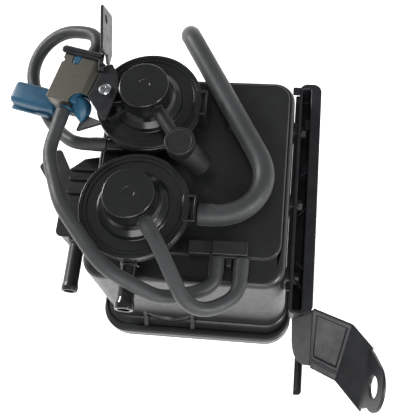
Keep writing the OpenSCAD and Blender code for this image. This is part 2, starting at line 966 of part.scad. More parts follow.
module valve_1_plate() {
    at_valve(valve_1_y)
        valve_plate();
}

module valve_2_plate() {
    at_valve(valve_2_y)
        valve_plate();
}

module valve_1_spring() {
    at_valve(valve_1_y)
        valve_spring();
}

module valve_2_spring() {
    at_valve(valve_2_y)
        valve_spring();
}

// Rubber cap that vents the second valve's nipple
module vent_cap() {
    c = plan(nipple_turn, vent_reach);
    s = plan(nipple_turn, nipple_root + hose_stop);
    hub = [c.x, c.y, vent_top - vent_low_r];
    foot = [c.x + vent_drop.x, c.y + vent_drop.y, vent_base + vent_lip + vent_drop.z];
    color("#2a2b2c")
        at_valve(valve_2_y)
            difference() {
                union() {
                    rod([c.x, c.y, vent_base], [c.x, c.y, vent_top], vent_r);
                    rod(hub, foot, vent_low_r);
                    rod([s.x, s.y, cap_nipple_z], [c.x, c.y, cap_nipple_z], sleeve_r);
                }
                rod(hub, foot + unit(foot - hub) * cut, vent_low_r - vent_t);
                rod([s.x - cut * cos(nipple_turn), s.y - cut * sin(nipple_turn), cap_nipple_z],
                    [c.x, c.y, cap_nipple_z], nipple_r + hose_gap);
            }
}

// Solenoid valve; its own axis runs along Y

module in_solenoid() {
    translate(sol_pos)
        rotate([0, 0, sol_turn])
            children();
}

module along_y(y0, y1, r) {
    rod([0, y0, 0], [0, y1, 0], r);
}

module solenoid_yoke() {
    color("#6f6c60")
        in_solenoid()
            difference() {
                union() {
                    box([-yoke_half_w, -yoke_half_l, yoke_top],
                        [yoke_half_w, yoke_half_l, yoke_top + yoke_t]);
                    box([-yoke_leg_w / 2, -yoke_half_l, yoke_leg_low],
                        [front_leg_right, -yoke_half_l + yoke_t, yoke_top + eps]);
                    box([-yoke_leg_w / 2, yoke_half_l - yoke_t, yoke_leg_low],
                        [yoke_leg_w / 2, yoke_half_l, yoke_top + eps]);
                }
                along_y(0, yoke_half_l + cut, leg_hole_r);
                along_y(-yoke_half_l - cut, 0, front_hole_r);
                box([arch_x, -yoke_half_l - cut, yoke_top - cut],
                    [yoke_half_w + cut, -yoke_half_l + arch_d, yoke_top + yoke_t + cut]);
                translate([lug_slot_at.x, lug_slot_at.y, yoke_top + yoke_t / 2])
                    cube([lug_slot.x, lug_slot.y, yoke_t + 2 * cut], center = true);
                box([-yoke_half_w - cut, -yoke_notch, yoke_top - cut],
                    [-yoke_half_w + yoke_notch, yoke_notch, yoke_top + yoke_t + cut]);
            }
}

module plug_shell(w, h, l) {
    rotate([90, 0, 90])
        linear_extrude(l)
            rounded_rect(w, h, plug_corner);
}

module solenoid_housing() {
    hose_start = [nose_nipple_x, -nose_front - hose_stop, nose_nipple_z];
    out = unit([sol_hose_out.x, sol_hose_out.y, nose_nipple_z] - hose_start);
    color("#2b618b")
        in_solenoid()
            difference() {
                union() {
                    along_y(-coil_half, coil_half, coil_r);
                    translate([lug_slot_at.x, lug_slot_at.y, yoke_top])
                        cube([lug_slot.x - 2 * lug_slot_gap, lug_slot.y - 2 * lug_slot_gap, lug_h],
                            center = true);
                    along_y(-yoke_half_l - neck_l, -coil_half + cut, front_neck_r);
                    taper([bulb_at.x, -yoke_half_l - bulb_gap, bulb_at.y],
                        [bulb_tip.x, -yoke_half_l - bulb_l, bulb_tip.y], bulb_r, bulb_tip_r);
                    rod([nose_x, -yoke_half_l - leg_gap, nose_z], [nose_x, -nose_front, nose_z], nose_r);
                    rod(hose_start - out * (hose_stop + cut), hose_start + out * (nipple_l - hose_stop),
                        nipple_r);
                    translate([plug_x, plug_y, plug_z])
                        plug_shell(plug_w, plug_h, plug_l);
                    box([plug_x + plug_l - cut, arm_y - arm_w / 2, plug_z - arm_h / 2],
                        [arm_reach, arm_y + arm_w / 2, plug_z + arm_h / 2]);
                    for (y = [plug_y - plug_w / 2 - rail_lip, plug_y + plug_w / 2 - plug_corner])
                        box([plug_x + rail_lip_in, y, plug_z - plug_h / 2],
                            [plug_x + rail_lip_l, y + rail_lip_w + rail_lip,
                                plug_z - plug_h / 2 + rail_lip_w]);
                }
                along_y(-coil_half + bore_stop, coil_half + cut, plunger_bore);
                rod([0, -coil_half + bore_stop + cut, 0],
                    [nose_nipple_x, -nose_front + nose_bore_in, nose_nipple_z], nipple_bore);
                rod(hose_start - out * (hose_stop + nose_bore_in + cut), hose_start + out * nipple_l,
                    nipple_bore);
                rotate([-90, 0, 0])
                    rotate_extrude()
                        translate([winding_in - winding_gap, -winding_half - winding_gap])
                            square([winding_out - winding_in + 2 * winding_gap,
                                2 * (winding_half + winding_gap)]);
                translate([plug_x - cut, plug_y, plug_z])
                    plug_shell(plug_w - 2 * plug_wall, plug_h - 2 * plug_wall, socket_d + cut);
                blades(leg_gap / 4);
            }
}

module blades(grow) {
    for (s = [-1, 1])
        translate([plug_x + socket_d + blade_root - blade.x / 2, plug_y + s * blade_pitch / 2, plug_z])
            cube([blade.x + 2 * grow, blade.y + 2 * grow, blade.z + 2 * grow], center = true);
}

module connector_terminals() {
    color("#c9a64e")
        in_solenoid()
            blades(0);
}

module solenoid_coil() {
    color("#a8622e")
        in_solenoid()
            rotate([-90, 0, 0])
                rotate_extrude()
                    translate([winding_in, -winding_half])
                        square([winding_out - winding_in, 2 * winding_half]);
}

module solenoid_core() {
    color("#8b8d8f")
        in_solenoid()
            difference() {
                union() {
                    along_y(core_front, coil_half, plunger_bore - core_gap);
                    along_y(coil_half - eps, core_shoulder, core_neck_r);
                    along_y(core_shoulder, core_shoulder + core_head_t, leg_hole_r + core_head_w);
                    along_y(core_shoulder + eps, core_end, nipple_r);
                }
                along_y(core_front - cut, core_end + cut, core_bore);
            }
}

module solenoid_plunger() {
    color("#a9abad")
        in_solenoid()
            difference() {
                along_y(plunger_front, plunger_back, plunger_bore - plunger_gap);
                along_y(plunger_back - pocket_d, plunger_back + cut, pocket_r);
            }
}

module plunger_spring() {
    seat = plunger_back - pocket_d + core_gap;
    color("#b4b6b8")
        in_solenoid()
            translate([0, seat, 0])
                rotate([-90, 0, 0])
                    coil_spring(plunger_spring_r, plunger_wire_r,
                        core_front - core_gap - seat, plunger_turns);
}

// Steel bracket that carries the solenoid

module solenoid_bracket() {
    t = sol_bracket_t;
    a = on_solenoid([plate_side, plate_back, 0]);
    b = on_solenoid([plate_side, plate_front, 0]);
    c = on_solenoid([-bar_half, bar_y, 0]);
    d = on_solenoid([bar_half, bar_y, 0]);
    bar_z = sol_pos.z + yoke_top + yoke_t;
    color("#232426")
        difference() {
            union() {
                translate([0, 0, plate_level])
                    linear_extrude(t) {
                        translate(screw_at)
                            circle(plate_round);
                        polygon([
                            [a.x, a.y], [a.x + post.x, a.y],
                            screw_at + plate_top, screw_at + plate_right,
                            screw_at + plate_low, screw_at + plate_tip, [b.x, b.y]
                        ]);
                    }
                translate([0, 0, bar_z])
                    linear_extrude(t) {
                        translate([c.x, c.y])
                            circle(bar_r);
                        translate([d.x, d.y])
                            circle(bar_r);
                        translate([(c.x + d.x) / 2, (c.y + d.y) / 2])
                            rotate(sol_turn)
                                square([2 * bar_half, 2 * bar_r], center = true);
                        polygon([
                            [d.x - bar_r, d.y + bar_side], [tab_x + t / 2, d.y + web_back],
                            [tab_x + t / 2, d.y - web_front], [a.x + web_reach, a.y],
                            [a.x + post_at.x, a.y - bar_side], [d.x - bar_r, d.y - bar_side]
                        ]);
                    }
                translate([a.x + post_at.x, a.y + post_at.y, plate_level])
                    cube([post.x, post.y, bar_z + t - plate_level]);
                translate([tab_x, valve_2_y, plate_level])
                    rotate([90, 0, 90])
                        linear_extrude(t)
                            polygon([
                                [tab_front, tab_low], [tab_back, tab_low],
                                [tab_back - tab_slant, tab_h - tab_tip], [tab_back - tab_corner.x, tab_h],
                                [tab_front + tab_shoulder.x, tab_h - tab_shoulder.y],
                                [tab_front, tab_h - tab_corner.y]
                            ]);
            }
            translate([screw_at.x, screw_at.y, plate_level - cut])
                cylinder(h = t + 2 * cut, r = screw_r + bolt_gap);
            rod([tab_x - cut, valve_2_y + tab_hole.x, plate_level + tab_hole.y],
                [tab_x + t + cut, valve_2_y + tab_hole.x, plate_level + tab_hole.y], tab_hole_r);
        }
}

module bracket_screw() {
    color("#c4c6c8")
        translate([screw_at.x, screw_at.y, plate_level + sol_bracket_t])
            difference() {
                union() {
                    cylinder(h = screw_head_h - screw_dome, r = screw_head_r);
                    translate([0, 0, screw_head_h - screw_dome])
                        cylinder(h = screw_dome, r1 = screw_head_r, r2 = screw_head_r - screw_ease);
                    translate([0, 0, -sol_bracket_t - screw_l])
                        cylinder(h = sol_bracket_t + screw_l + eps, r = screw_r - core_gap);
                }
                for (turn = [0, 90])
                    rotate(turn)
                        translate([-2 * drive_r, -drive_r / 2.5, screw_head_h - drive_d])
                            cube([4 * drive_r, drive_r / 1.25, drive_d + cut]);
            }
}

// Hoses

module hose_main() {
    start = on_valve(valve_1_y, [ear_reach + hose_stop, 0], big_port_z);
    elbow = [wall_x + main_out, start.y, start.z];
    fall = [valve_x + rim_r - main_back.x, valve_2_y + main_back.y, start.z];
    color("#3c3e40")
        hose([start, elbow, fall, fall + main_drop],
            main_bends, main_hose_r, big_nipple_r + hose_gap);
}

module hose_bypass() {
    start = on_solenoid([0, core_shoulder + core_head_t + hose_stop, 0]);
    end = on_valve(valve_2_y, [tang_collar_x - hose_stop, tang_y], tang_z);
    color("#3c3e40")
        hose([
            start, on_solenoid([0, bypass_out, 0]),
            for (p = bypass_corners) sol_pos + p,
            end - [bypass_lead, 0, 0], end
        ], bypass_bends, hose_r, nipple_r + hose_gap);
}

module hose_solenoid() {
    start = on_solenoid([nose_nipple_x, -nose_front - hose_stop, nose_nipple_z]);
    end = [port_b_x, block_y - hose_stop, port_z];
    color("#3c3e40")
        hose([
            start, on_solenoid([sol_hose_out.x, sol_hose_out.y, nose_nipple_z]),
            for (p = sol_hose_corners) off_valve(valve_1_y, p),
            end - [0, sol_hose_lead, 0], end
        ], sol_hose_bends, hose_r, nipple_r + hose_gap);
}

module hose_valve() {
    a = plan(nipple_turn, nipple_root + hose_stop);
    b = plan(nipple_turn, valve_hose_out);
    end = [port_c_x, block_y - hose_stop, port_z];
    color("#3c3e40")
        hose([
            on_valve(valve_1_y, a, cap_nipple_z), on_valve(valve_1_y, b, cap_nipple_z),
            off_valve(valve_1_y, valve_hose_corner), end - [0, valve_hose_lead, 0], end
        ], valve_hose_bends, hose_r, nipple_r + hose_gap);
}

// Steel side bracket

module rail_plan(w, d, r) {
    translate([w / 2, d / 2])
        rounded_rect(w, d, r);
}

module in_arm() {
    translate(arm_root)
        rotate([arm_slope, 0, 0])
            children();
}

module in_wing() {
    in_arm()
        translate([arm_hinge.x, arm_hinge.y, 0])
            rotate([0, 0, arm_lean])
                rotate([0, -arm_fold, 0])
                    children();
}

module in_lug() {
    in_wing()
        translate([lug_hinge.x, lug_hinge.y, 0])
            rotate([0, 0, lug_lean])
                rotate([0, -lug_fold, 0])
                    children();
}

module rail() {
    length = rail_back - rail_front;
    difference() {
        union() {
            translate([rail_x, rail_front, rail_z - trough_d])
                linear_extrude(trough_d)
                    rail_plan(trough_w, length, trough_r);
            translate([rail_x, rail_front, rail_z - sheet_t])
                linear_extrude(sheet_t)
                    rail_plan(trough_w + rail_flange, length + 2, rail_corner);
            box([rail_x - tab_w, rail_back - tab_l, rail_z - sheet_t],
                [rail_x + cut, rail_back - cut, rail_z]);
        }
        translate([rail_x + sheet_t, rail_front + sheet_t, rail_z - trough_d + sheet_t])
            linear_extrude(trough_d)
                rail_plan(trough_w - 2 * sheet_t, length - 2 * sheet_t, trough_r - sheet_t);
        for (y = bolt_ys)
            rod([rail_x - cut, y, bolt_z], [rail_x + sheet_t + cut, y, bolt_z], bolt_r + bolt_gap);
    }
}

module tail() {
    low = rail_z - trough_d - tail_h;
    length = tail_back - tail_front;
    box([tail_x, tail_front + tail_corner, low],
        [tail_x + sheet_t, tail_back, rail_z - trough_d + sheet_t / 2]);
    translate([tail_x, tail_front, low])
        linear_extrude(sheet_t) {
            translate([0, tail_corner])
                square([tail_w, length - tail_corner]);
            square([tail_w - tail_corner, length]);
            translate([tail_w - tail_corner, tail_corner])
                circle(tail_corner);
        }
}

module side_bracket() {
    color("#1b1c1e")
        difference() {
            union() {
                rail();
                tail();
                in_arm()
                    linear_extrude(sheet_t)
                        polygon(arm_panel);
                in_arm() {
                    rod([brace_hinge, arm_edge[0], sheet_t / 2], [brace_hinge, arm_edge[1], sheet_t / 2],
                        sheet_t / 2 + fold_r_in);
                    translate([brace_hinge, 0, sheet_t / 2])
                        rotate([0, 180 - brace_fold, 0])
                            linear_extrude(sheet_t, center = true)
                                polygon(brace_panel);
                }
                in_wing()
                    linear_extrude(sheet_t)
                        polygon(wing_panel);
                in_lug()
                    linear_extrude(sheet_t) {
                        polygon(lug_panel);
                        translate(lug_hole)
                            circle(lug_r);
                    }
            }
            in_lug()
                translate([lug_hole.x, lug_hole.y, -cut])
                    cylinder(h = sheet_t + 2 * cut, r = lug_hole_r);
        }
}

module bracket_bolts() {
    inner = rail_x + sheet_t;
    color("#8f9294")
        for (y = bolt_ys) {
            rod([wall_x - wall + bolt_short, y, bolt_z], [inner + eps, y, bolt_z], bolt_r - core_gap);
            rod([inner, y, bolt_z], [inner + bolt_flange_h, y, bolt_z], bolt_flange_r);
            translate([inner + bolt_flange_h - eps, y, bolt_z])
                rotate([0, 90, 0])
                    cylinder(h = bolt_head_h, r = bolt_head_r, $fn = 6);
        }
}

canister_body();
base_cover();
carbon_bed_tank();
carbon_bed_air();
upper_filter_tank();
upper_filter_air();
lower_filter_tank();
lower_filter_air();
retainer_tank();
retainer_air();
bed_springs();
valve_1_body();
valve_1_cover();
valve_1_diaphragm();
valve_1_plate();
valve_1_spring();
valve_2_body();
valve_2_cover();
valve_2_diaphragm();
valve_2_plate();
valve_2_spring();
vent_cap();
solenoid_bracket();
bracket_screw();
solenoid_yoke();
solenoid_housing();
solenoid_coil();
solenoid_core();
solenoid_plunger();
plunger_spring();
connector_terminals();
hose_main();
hose_bypass();
hose_solenoid();
hose_valve();
side_bracket();
bracket_bolts();
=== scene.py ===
"""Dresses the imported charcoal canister: smooth surfaces over its solids, and a finish on every piece.

Sizes are in millimetres, in the part's own frame: X right, Y back, Z up, with the origin on the base.
"""

from __future__ import annotations

import json
import logging
from dataclasses import dataclass
from enum import Enum

import bpy
import numpy as np
from mathutils import Matrix, Vector
from mathutils.geometry import tessellate_polygon

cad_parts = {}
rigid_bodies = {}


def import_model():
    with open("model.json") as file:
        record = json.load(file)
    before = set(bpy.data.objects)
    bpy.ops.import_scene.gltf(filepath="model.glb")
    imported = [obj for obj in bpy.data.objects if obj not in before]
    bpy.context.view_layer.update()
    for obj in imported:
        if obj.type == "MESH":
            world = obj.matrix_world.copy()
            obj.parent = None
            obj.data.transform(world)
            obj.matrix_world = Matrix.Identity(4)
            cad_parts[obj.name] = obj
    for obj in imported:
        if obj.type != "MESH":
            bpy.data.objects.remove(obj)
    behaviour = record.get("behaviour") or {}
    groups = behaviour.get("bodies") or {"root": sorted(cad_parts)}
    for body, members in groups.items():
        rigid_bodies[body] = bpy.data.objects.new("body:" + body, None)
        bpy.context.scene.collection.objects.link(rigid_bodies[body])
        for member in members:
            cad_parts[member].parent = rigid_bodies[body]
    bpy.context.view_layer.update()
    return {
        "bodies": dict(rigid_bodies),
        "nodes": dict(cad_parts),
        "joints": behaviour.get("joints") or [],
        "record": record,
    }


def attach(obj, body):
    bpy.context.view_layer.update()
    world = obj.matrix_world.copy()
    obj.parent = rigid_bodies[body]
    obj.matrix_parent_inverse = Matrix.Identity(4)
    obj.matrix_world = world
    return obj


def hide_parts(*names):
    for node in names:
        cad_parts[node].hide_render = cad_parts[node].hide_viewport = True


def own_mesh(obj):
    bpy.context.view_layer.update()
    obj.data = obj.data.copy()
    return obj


log = logging.getLogger("canister")

Triple = tuple[float, float, float]
Pair = tuple[float, float]
Socket, Tree, Material = bpy.types.NodeSocket, bpy.types.NodeTree, bpy.types.Material

MM = 0.001
ROOT = "canister"
# A turn, in radians, that needs no arc
STRAIGHT = 0.01
# The hollow of a turned piece's end disc, in millimetres
AXIS_R = 1e-3


def linear(code: str) -> tuple[float, float, float, float]:
    """Turns an sRGB hex colour into linear RGBA.

    Args:
        code: the colour, such as "#1f2021".

    Returns:
        Linear red, green, blue and an alpha of one.
    """
    srgb = np.array([int(code[i:i + 2], 16) for i in (1, 3, 5)]) / 255.0
    rgb = np.where(srgb <= 0.04045, srgb / 12.92, ((srgb + 0.055) / 1.055) ** 2.4)
    return (*rgb.tolist(), 1.0)


def add(tree: Tree, kind: str, inputs: dict | None = None, **settings: object) -> bpy.types.Node:
    """Adds one node with its settings, values and links.

    Args:
        tree: the node tree that takes the node.
        kind: the node's type name.
        inputs: socket name or number to a value, or to the socket that feeds it.
        settings: attributes to set on the node.

    Returns:
        The new node.
    """
    node = tree.nodes.new(kind)
    for key, value in settings.items():
        setattr(node, key, value)
    for key, value in (inputs or {}).items():
        if isinstance(value, Socket):
            tree.links.new(value, node.inputs[key])
        else:
            node.inputs[key].default_value = value
    return node


def per_metre(size_mm: float) -> float:
    """Texture scale at which one feature is about a given size.

    Args:
        size_mm: the feature's width.

    Returns:
        The scale, in features to the metre.
    """
    return 1.0 / (size_mm * MM)


# Finishes


def blank(name: str) -> tuple[Material, Tree, Socket]:
    """Makes an empty material.

    Args:
        name: its name.

    Returns:
        The material, its node tree and the object's own coordinates.
    """
    made = bpy.data.materials.new(name)
    made.use_nodes = True
    made.node_tree.nodes.clear()
    return made, made.node_tree, add(made.node_tree, "ShaderNodeTexCoord").outputs["Object"]


def noise(place: Socket, size_mm: float, detail: float, rough: float = 0.5) -> Socket:
    """Adds a cloudy pattern.

    Args:
        place: the coordinates that it lies in.
        size_mm: width of its largest features.
        detail: how many finer layers it has.
        rough: how strong those layers are.

    Returns:
        The pattern's value.
    """
    return add(place.id_data, "ShaderNodeTexNoise", {
        "Vector": place, "Scale": per_metre(size_mm), "Detail": detail, "Roughness": rough}).outputs["Fac"]


def ranged(value: Socket, low: float, high: float, to: Pair = (0.0, 1.0)) -> Socket:
    """Adds a change of range.

    Args:
        value: what is changed.
        low: the value that becomes the new lowest.
        high: the value that becomes the new highest.
        to: the new range.

    Returns:
        The changed value.
    """
    return add(value.id_data, "ShaderNodeMapRange", {
        "Value": value, "From Min": low, "From Max": high,
        "To Min": to[0], "To Max": to[1]}).outputs["Result"]


def surface(share: Socket, tones: tuple[str, str], height: Socket, strength: float, depth_mm: float,
            sockets: dict, invert: bool = False) -> None:
    """Adds the shader: two tones mixed by a pattern, and a relief.

    Args:
        share: how much of the second tone shows.
        tones: the two colours.
        height: the relief's pattern.
        strength: the relief's strength.
        depth_mm: the relief's depth.
        sockets: what else the shader is given.
        invert: whether the pattern's high values lie deep.
    """
    tree = share.id_data
    blend = add(tree, "ShaderNodeMix", {"Factor": share, "A": linear(tones[0]), "B": linear(tones[1])},
                data_type="RGBA")
    bump = add(tree, "ShaderNodeBump", {"Height": height, "Strength": strength, "Distance": depth_mm * MM},
               invert=invert)
    shader = add(tree, "ShaderNodeBsdfPrincipled", {
        "Base Color": blend.outputs["Result"], "Normal": bump.outputs["Normal"], **sockets})
    add(tree, "ShaderNodeOutputMaterial", {"Surface": shader.outputs["BSDF"]})


@dataclass(frozen=True)
class Moulded:
    """A moulded plastic or rubber: flow mottling, a fine mould grain, and patches of uneven gloss.

    The grain breaks up the gloss, and the mottling keeps a large black face from looking like one flat tone.
    """

    name: str
    colour: str
    pale: str
    roughness: float
    grain_mm: float = 0.5
    relief: float = 0.06
    mottle_mm: float = 22.0
    spread: float = 0.10
    specular: float = 0.5
    sheen: float = 0.0

    def material(self) -> Material:
        """Builds the material.

        Returns:
            The new material.
        """
        made, _, place = blank(self.name)
        mottle, grain = noise(place, self.mottle_mm, 4.0, 0.6), noise(place, self.grain_mm, 2.0)
        scuff = noise(place, self.mottle_mm / 6, 5.0, 0.7)
        gloss = ranged(scuff, 0.25, 0.75, (self.roughness - self.spread, self.roughness + self.spread))
        surface(ranged(mottle, 0.3, 0.75), (self.colour, self.pale), grain, self.relief, self.grain_mm, {
            "Roughness": gloss, "Specular IOR Level": self.specular, "Sheen Weight": self.sheen})
        return made


@dataclass(frozen=True)
class Metal:
    """A steel, plated or painted surface: a base tone, cloudy stains, and fine drawn lines or orange peel.

    Scaling the pattern more along one axis turns its clouds into streaks; the ripple breaks up the gloss.
    """

    name: str
    colour: str
    stain: str
    roughness: float
    metallic: float = 1.0
    stain_mm: float = 9.0
    streak: Triple = (1.0, 1.0, 1.0)
    ripple_mm: float = 1.2
    relief: float = 0.05
    specular: float = 0.5

    def material(self) -> Material:
        """Builds the material.

        Returns:
            The new material.
        """
        made, tree, place = blank(self.name)
        drawn = add(tree, "ShaderNodeMapping", {"Vector": place, "Scale": self.streak}).outputs["Vector"]
        cloud, ripple = noise(drawn, self.stain_mm, 5.0, 0.65), noise(drawn, self.ripple_mm, 2.0)
        gloss = ranged(cloud, 0.3, 0.7, (self.roughness * 0.8, self.roughness * 1.25))
        surface(ranged(cloud, 0.35, 0.7), (self.colour, self.stain), ripple, self.relief, self.ripple_mm, {
            "Roughness": gloss, "Metallic": self.metallic, "Specular IOR Level": self.specular})
        return made


@dataclass(frozen=True)
class Granules:
    """A bed of grains or open cells: every cell has its own tone, and the joints between them are deep."""

    name: str
    colour: str
    pale: str
    cell_mm: float
    roughness: float = 0.9
    relief: float = 0.8

    def material(self) -> Material:
        """Builds the material.

        Returns:
            The new material.
        """
        made, tree, place = blank(self.name)
        cells = add(tree, "ShaderNodeTexVoronoi", {"Vector": place, "Scale": per_metre(self.cell_mm)}).outputs
        surface(cells["Color"], (self.colour, self.pale), cells["Distance"], self.relief, self.cell_mm,
                {"Roughness": self.roughness}, invert=True)
        return made


class Finish(Enum):
    """Every finish on the part, by what it is made of."""

    BODY = Moulded("moulded_polyamide", "#18191a", "#202122", 0.36, grain_mm=0.7, relief=0.03)
    VALVE = Moulded("glossy_polyamide", "#161718", "#1c1d1e", 0.19, grain_mm=0.9, relief=0.008, spread=0.04)
    HOSE = Moulded("hose_rubber", "#2a2b2c", "#343637", 0.52, grain_mm=0.6, relief=0.08, mottle_mm=35.0,
                   sheen=0.08)
    CAP = Moulded("cap_rubber", "#161717", "#1c1d1e", 0.50, grain_mm=0.6, relief=0.06, specular=0.35)
    BLUE = Moulded("blue_nylon", "#194660", "#23546f", 0.40, grain_mm=0.6, relief=0.05, mottle_mm=12.0)
    RETAINER = Moulded("retainer_nylon", "#343536", "#3d3e3f", 0.5)
    PAINT = Metal("black_paint", "#1a1b1d", "#222326", 0.40, metallic=0.0, ripple_mm=1.6, relief=0.03,
                  specular=0.36)
    ZINC = Metal("zinc_passivate", "#74726a", "#5a5850", 0.44, stain_mm=7.0, streak=(1.0, 4.0, 1.0))
    SCREW = Metal("bright_zinc", "#c9cbcd", "#a7a9ab", 0.22, stain_mm=3.0)
    STEEL = Metal("plain_steel", "#9b9d9f", "#858789", 0.32, streak=(1.0, 1.0, 6.0))
    BRASS = Metal("terminal_brass", "#c7a24a", "#a88434", 0.28, stain_mm=3.0)
    COPPER = Metal("enamelled_copper", "#9a5a2a", "#7d441e", 0.3, metallic=0.6, stain_mm=4.0)
    CARBON = Granules("carbon_granules", "#101010", "#262626", 2.2)
    FOAM = Granules("filter_foam", "#a9a697", "#c9c6b8", 1.4)


_made: dict[Finish, Material] = {}


def finish_of(kind: Finish) -> Material:
    """Finds a finish's material, which is built on first use.

    Args:
        kind: the finish.

    Returns:
        The material.
    """
    if kind not in _made:
        _made[kind] = kind.value.material()
    return _made[kind]


# Surfaces


def unit(way: np.ndarray) -> np.ndarray:
    """Scales vectors to a length of one.

    Args:
        way: one vector, or rows of them.

    Returns:
        The scaled vectors.
    """
    return way / np.linalg.norm(way, axis=-1, keepdims=True)


def soft_step(x: np.ndarray) -> np.ndarray:
    """A smooth step: 0 up to 0, 1 from 1 on, and three squares less two cubes between them.

    Args:
        x: where it is taken.

    Returns:
        Its height there.
    """
    x = np.clip(x, 0, 1)
    return x * x * (3 - 2 * x)


def moved(points: np.ndarray, matrix: np.ndarray) -> np.ndarray:
    """Moves points by a placement.

    Args:
        points: rows of three.
        matrix: the 4 by 4 placement, in millimetres.

    Returns:
        The moved points.
    """
    return points @ matrix[:3, :3].T + matrix[:3, 3]


def circle(x: float, y: float, radius: float, count: int = 32) -> np.ndarray:
    """Points of a circle, counter-clockwise.

    Args:
        x: its middle, across.
        y: its middle, up.
        radius: its radius.
        count: how many points.

    Returns:
        The points.
    """
    t = np.linspace(0, 2 * np.pi, count, endpoint=False)
    return np.stack([x + radius * np.cos(t), y + radius * np.sin(t)], 1)


@dataclass
class Patch:
    """Points in millimetres and the faces over them."""

    points: np.ndarray
    faces: list[tuple[int, ...]]

    def placed(self, matrix: np.ndarray) -> Patch:
        """Moves the points by a 4 by 4 matrix."""
        return Patch(moved(self.points, matrix), self.faces)


def joined(patches: list[Patch]) -> Patch:
    """Puts several patches into one, without merging their points.

    Args:
        patches: the patches.

    Returns:
        One patch with all of them.
    """
    starts = np.cumsum([0] + [len(p.points) for p in patches])
    faces = [tuple(int(i + s) for i in face) for p, s in zip(patches, starts) for face in p.faces]
    return Patch(np.vstack([p.points for p in patches]), faces)


def lattice(points: np.ndarray, loop: bool = False, capped: bool = False) -> Patch:
    """Lays quads over a grid of points: columns run round, rows run along.

    Args:
        points: rows by columns by 3.
        loop: whether the last row joins the first, as the last column always does.
        capped: whether one face closes the first row and one the last.

    Returns:
        The patch; seen along the columns, its faces point to the right of the rows' run.
    """
    rows, cols = points.shape[:2]
    index = np.arange(rows * cols).reshape(rows, cols)
    if loop:
        index = np.vstack([index, index[:1]])
    index = np.hstack([index, index[:, :1]])
    quads = np.stack([index[:-1, :-1], index[:-1, 1:], index[1:, 1:], index[1:, :-1]], -1).reshape(-1, 4)
    faces = [tuple(q) for q in quads.tolist()]
    if capped:
        faces += [tuple(range(cols - 1, -1, -1)), tuple(range((rows - 1) * cols, rows * cols))]
    return Patch(points.reshape(-1, 3), faces)


def eased(corners: list[Triple], closed: bool = False, step: float = 9.0) -> np.ndarray:
    """Rounds the corners of a line of points: each corner is an arc that touches both its sides.

    Args:
        corners: x, y and the corner's radius.
        closed: whether the last point joins the first.
        step: largest turn between two points of an arc, in degrees.

    Returns:
        The points of the eased line.
    """
    at = np.array([c[:2] for c in corners], float)
    out: list[np.ndarray] = []
    last = len(corners) - 1
    for i, (_, _, radius) in enumerate(corners):
        if radius <= 0 or (not closed and i in (0, last)):
            out.append(at[i:i + 1])
            continue
        back, ahead = unit(at[i - 1] - at[i]), unit(at[(i + 1) % len(at)] - at[i])
        turn = np.pi - np.arccos(np.clip(back @ ahead, -1, 1))
        if turn < STRAIGHT:
            out.append(at[i:i + 1])
            continue
        start = at[i] + back * radius * np.tan(turn / 2)
        inward = unit(ahead - (ahead @ -back) * -back)
        sweep = np.linspace(0, turn, max(2, int(np.ceil(np.degrees(turn) / step))) + 1)[:, None]
        out.append(start + radius * (inward * (1 - np.cos(sweep)) - back * np.sin(sweep)))
    return np.vstack(out)


def lathe(profile: np.ndarray, sides: int = 96, loop: bool = False) -> Patch:
    """Turns a profile about Z: a point (r, z) goes to (r cos t, r sin t, z).

    Args:
        profile: radius and height, with the solid on the left of its run.
        sides: steps round the axis.
        loop: whether the profile is a closed line; if not, small end discs close it on the axis.

    Returns:
        The turned patch.
    """
    t = np.linspace(0, 2 * np.pi, sides, endpoint=False)
    r = np.maximum(profile[:, :1], AXIS_R)
    grid = np.stack([r * np.cos(t), r * np.sin(t), np.broadcast_to(profile[:, 1:2], (len(r), sides))], -1)
    return lattice(grid, loop=loop, capped=not loop)


def inset(loop: np.ndarray, gap: float) -> np.ndarray:
    """Moves a counter-clockwise closed line inwards by a gap, along the mitre of its two sides at each point.

    Args:
        loop: the line's points.
        gap: how far in; negative is outwards.

    Returns:
        The moved points.
    """
    ahead = unit(np.roll(loop, -1, 0) - loop)
    left = np.stack([-ahead[:, 1], ahead[:, 0]], 1)
    before = np.roll(left, 1, 0)
    mitre = (left + before) / np.maximum(1 + (left * before).sum(1, keepdims=True), 0.3)
    return loop + gap * mitre


def rounded_edge(low: float, high: float, ease: float, steps: int = 4) -> np.ndarray:
    """Edge profile of a plate: a quarter round from the lower face, a straight side, a quarter round on top.

    Args:
        low: height of the lower face.
        high: height of the upper face.
        ease: radius of the two rounds.
        steps: steps in each round.

    Returns:
        Inset and height of each point.
    """
    t = np.linspace(0, np.pi / 2, steps + 1)
    under = np.stack([ease * (1 - np.sin(t)), low + ease * (1 - np.cos(t))], 1)
    over = np.stack([ease * (1 - np.cos(t)), high - ease * (1 - np.sin(t))], 1)
    return np.vstack([under, over])


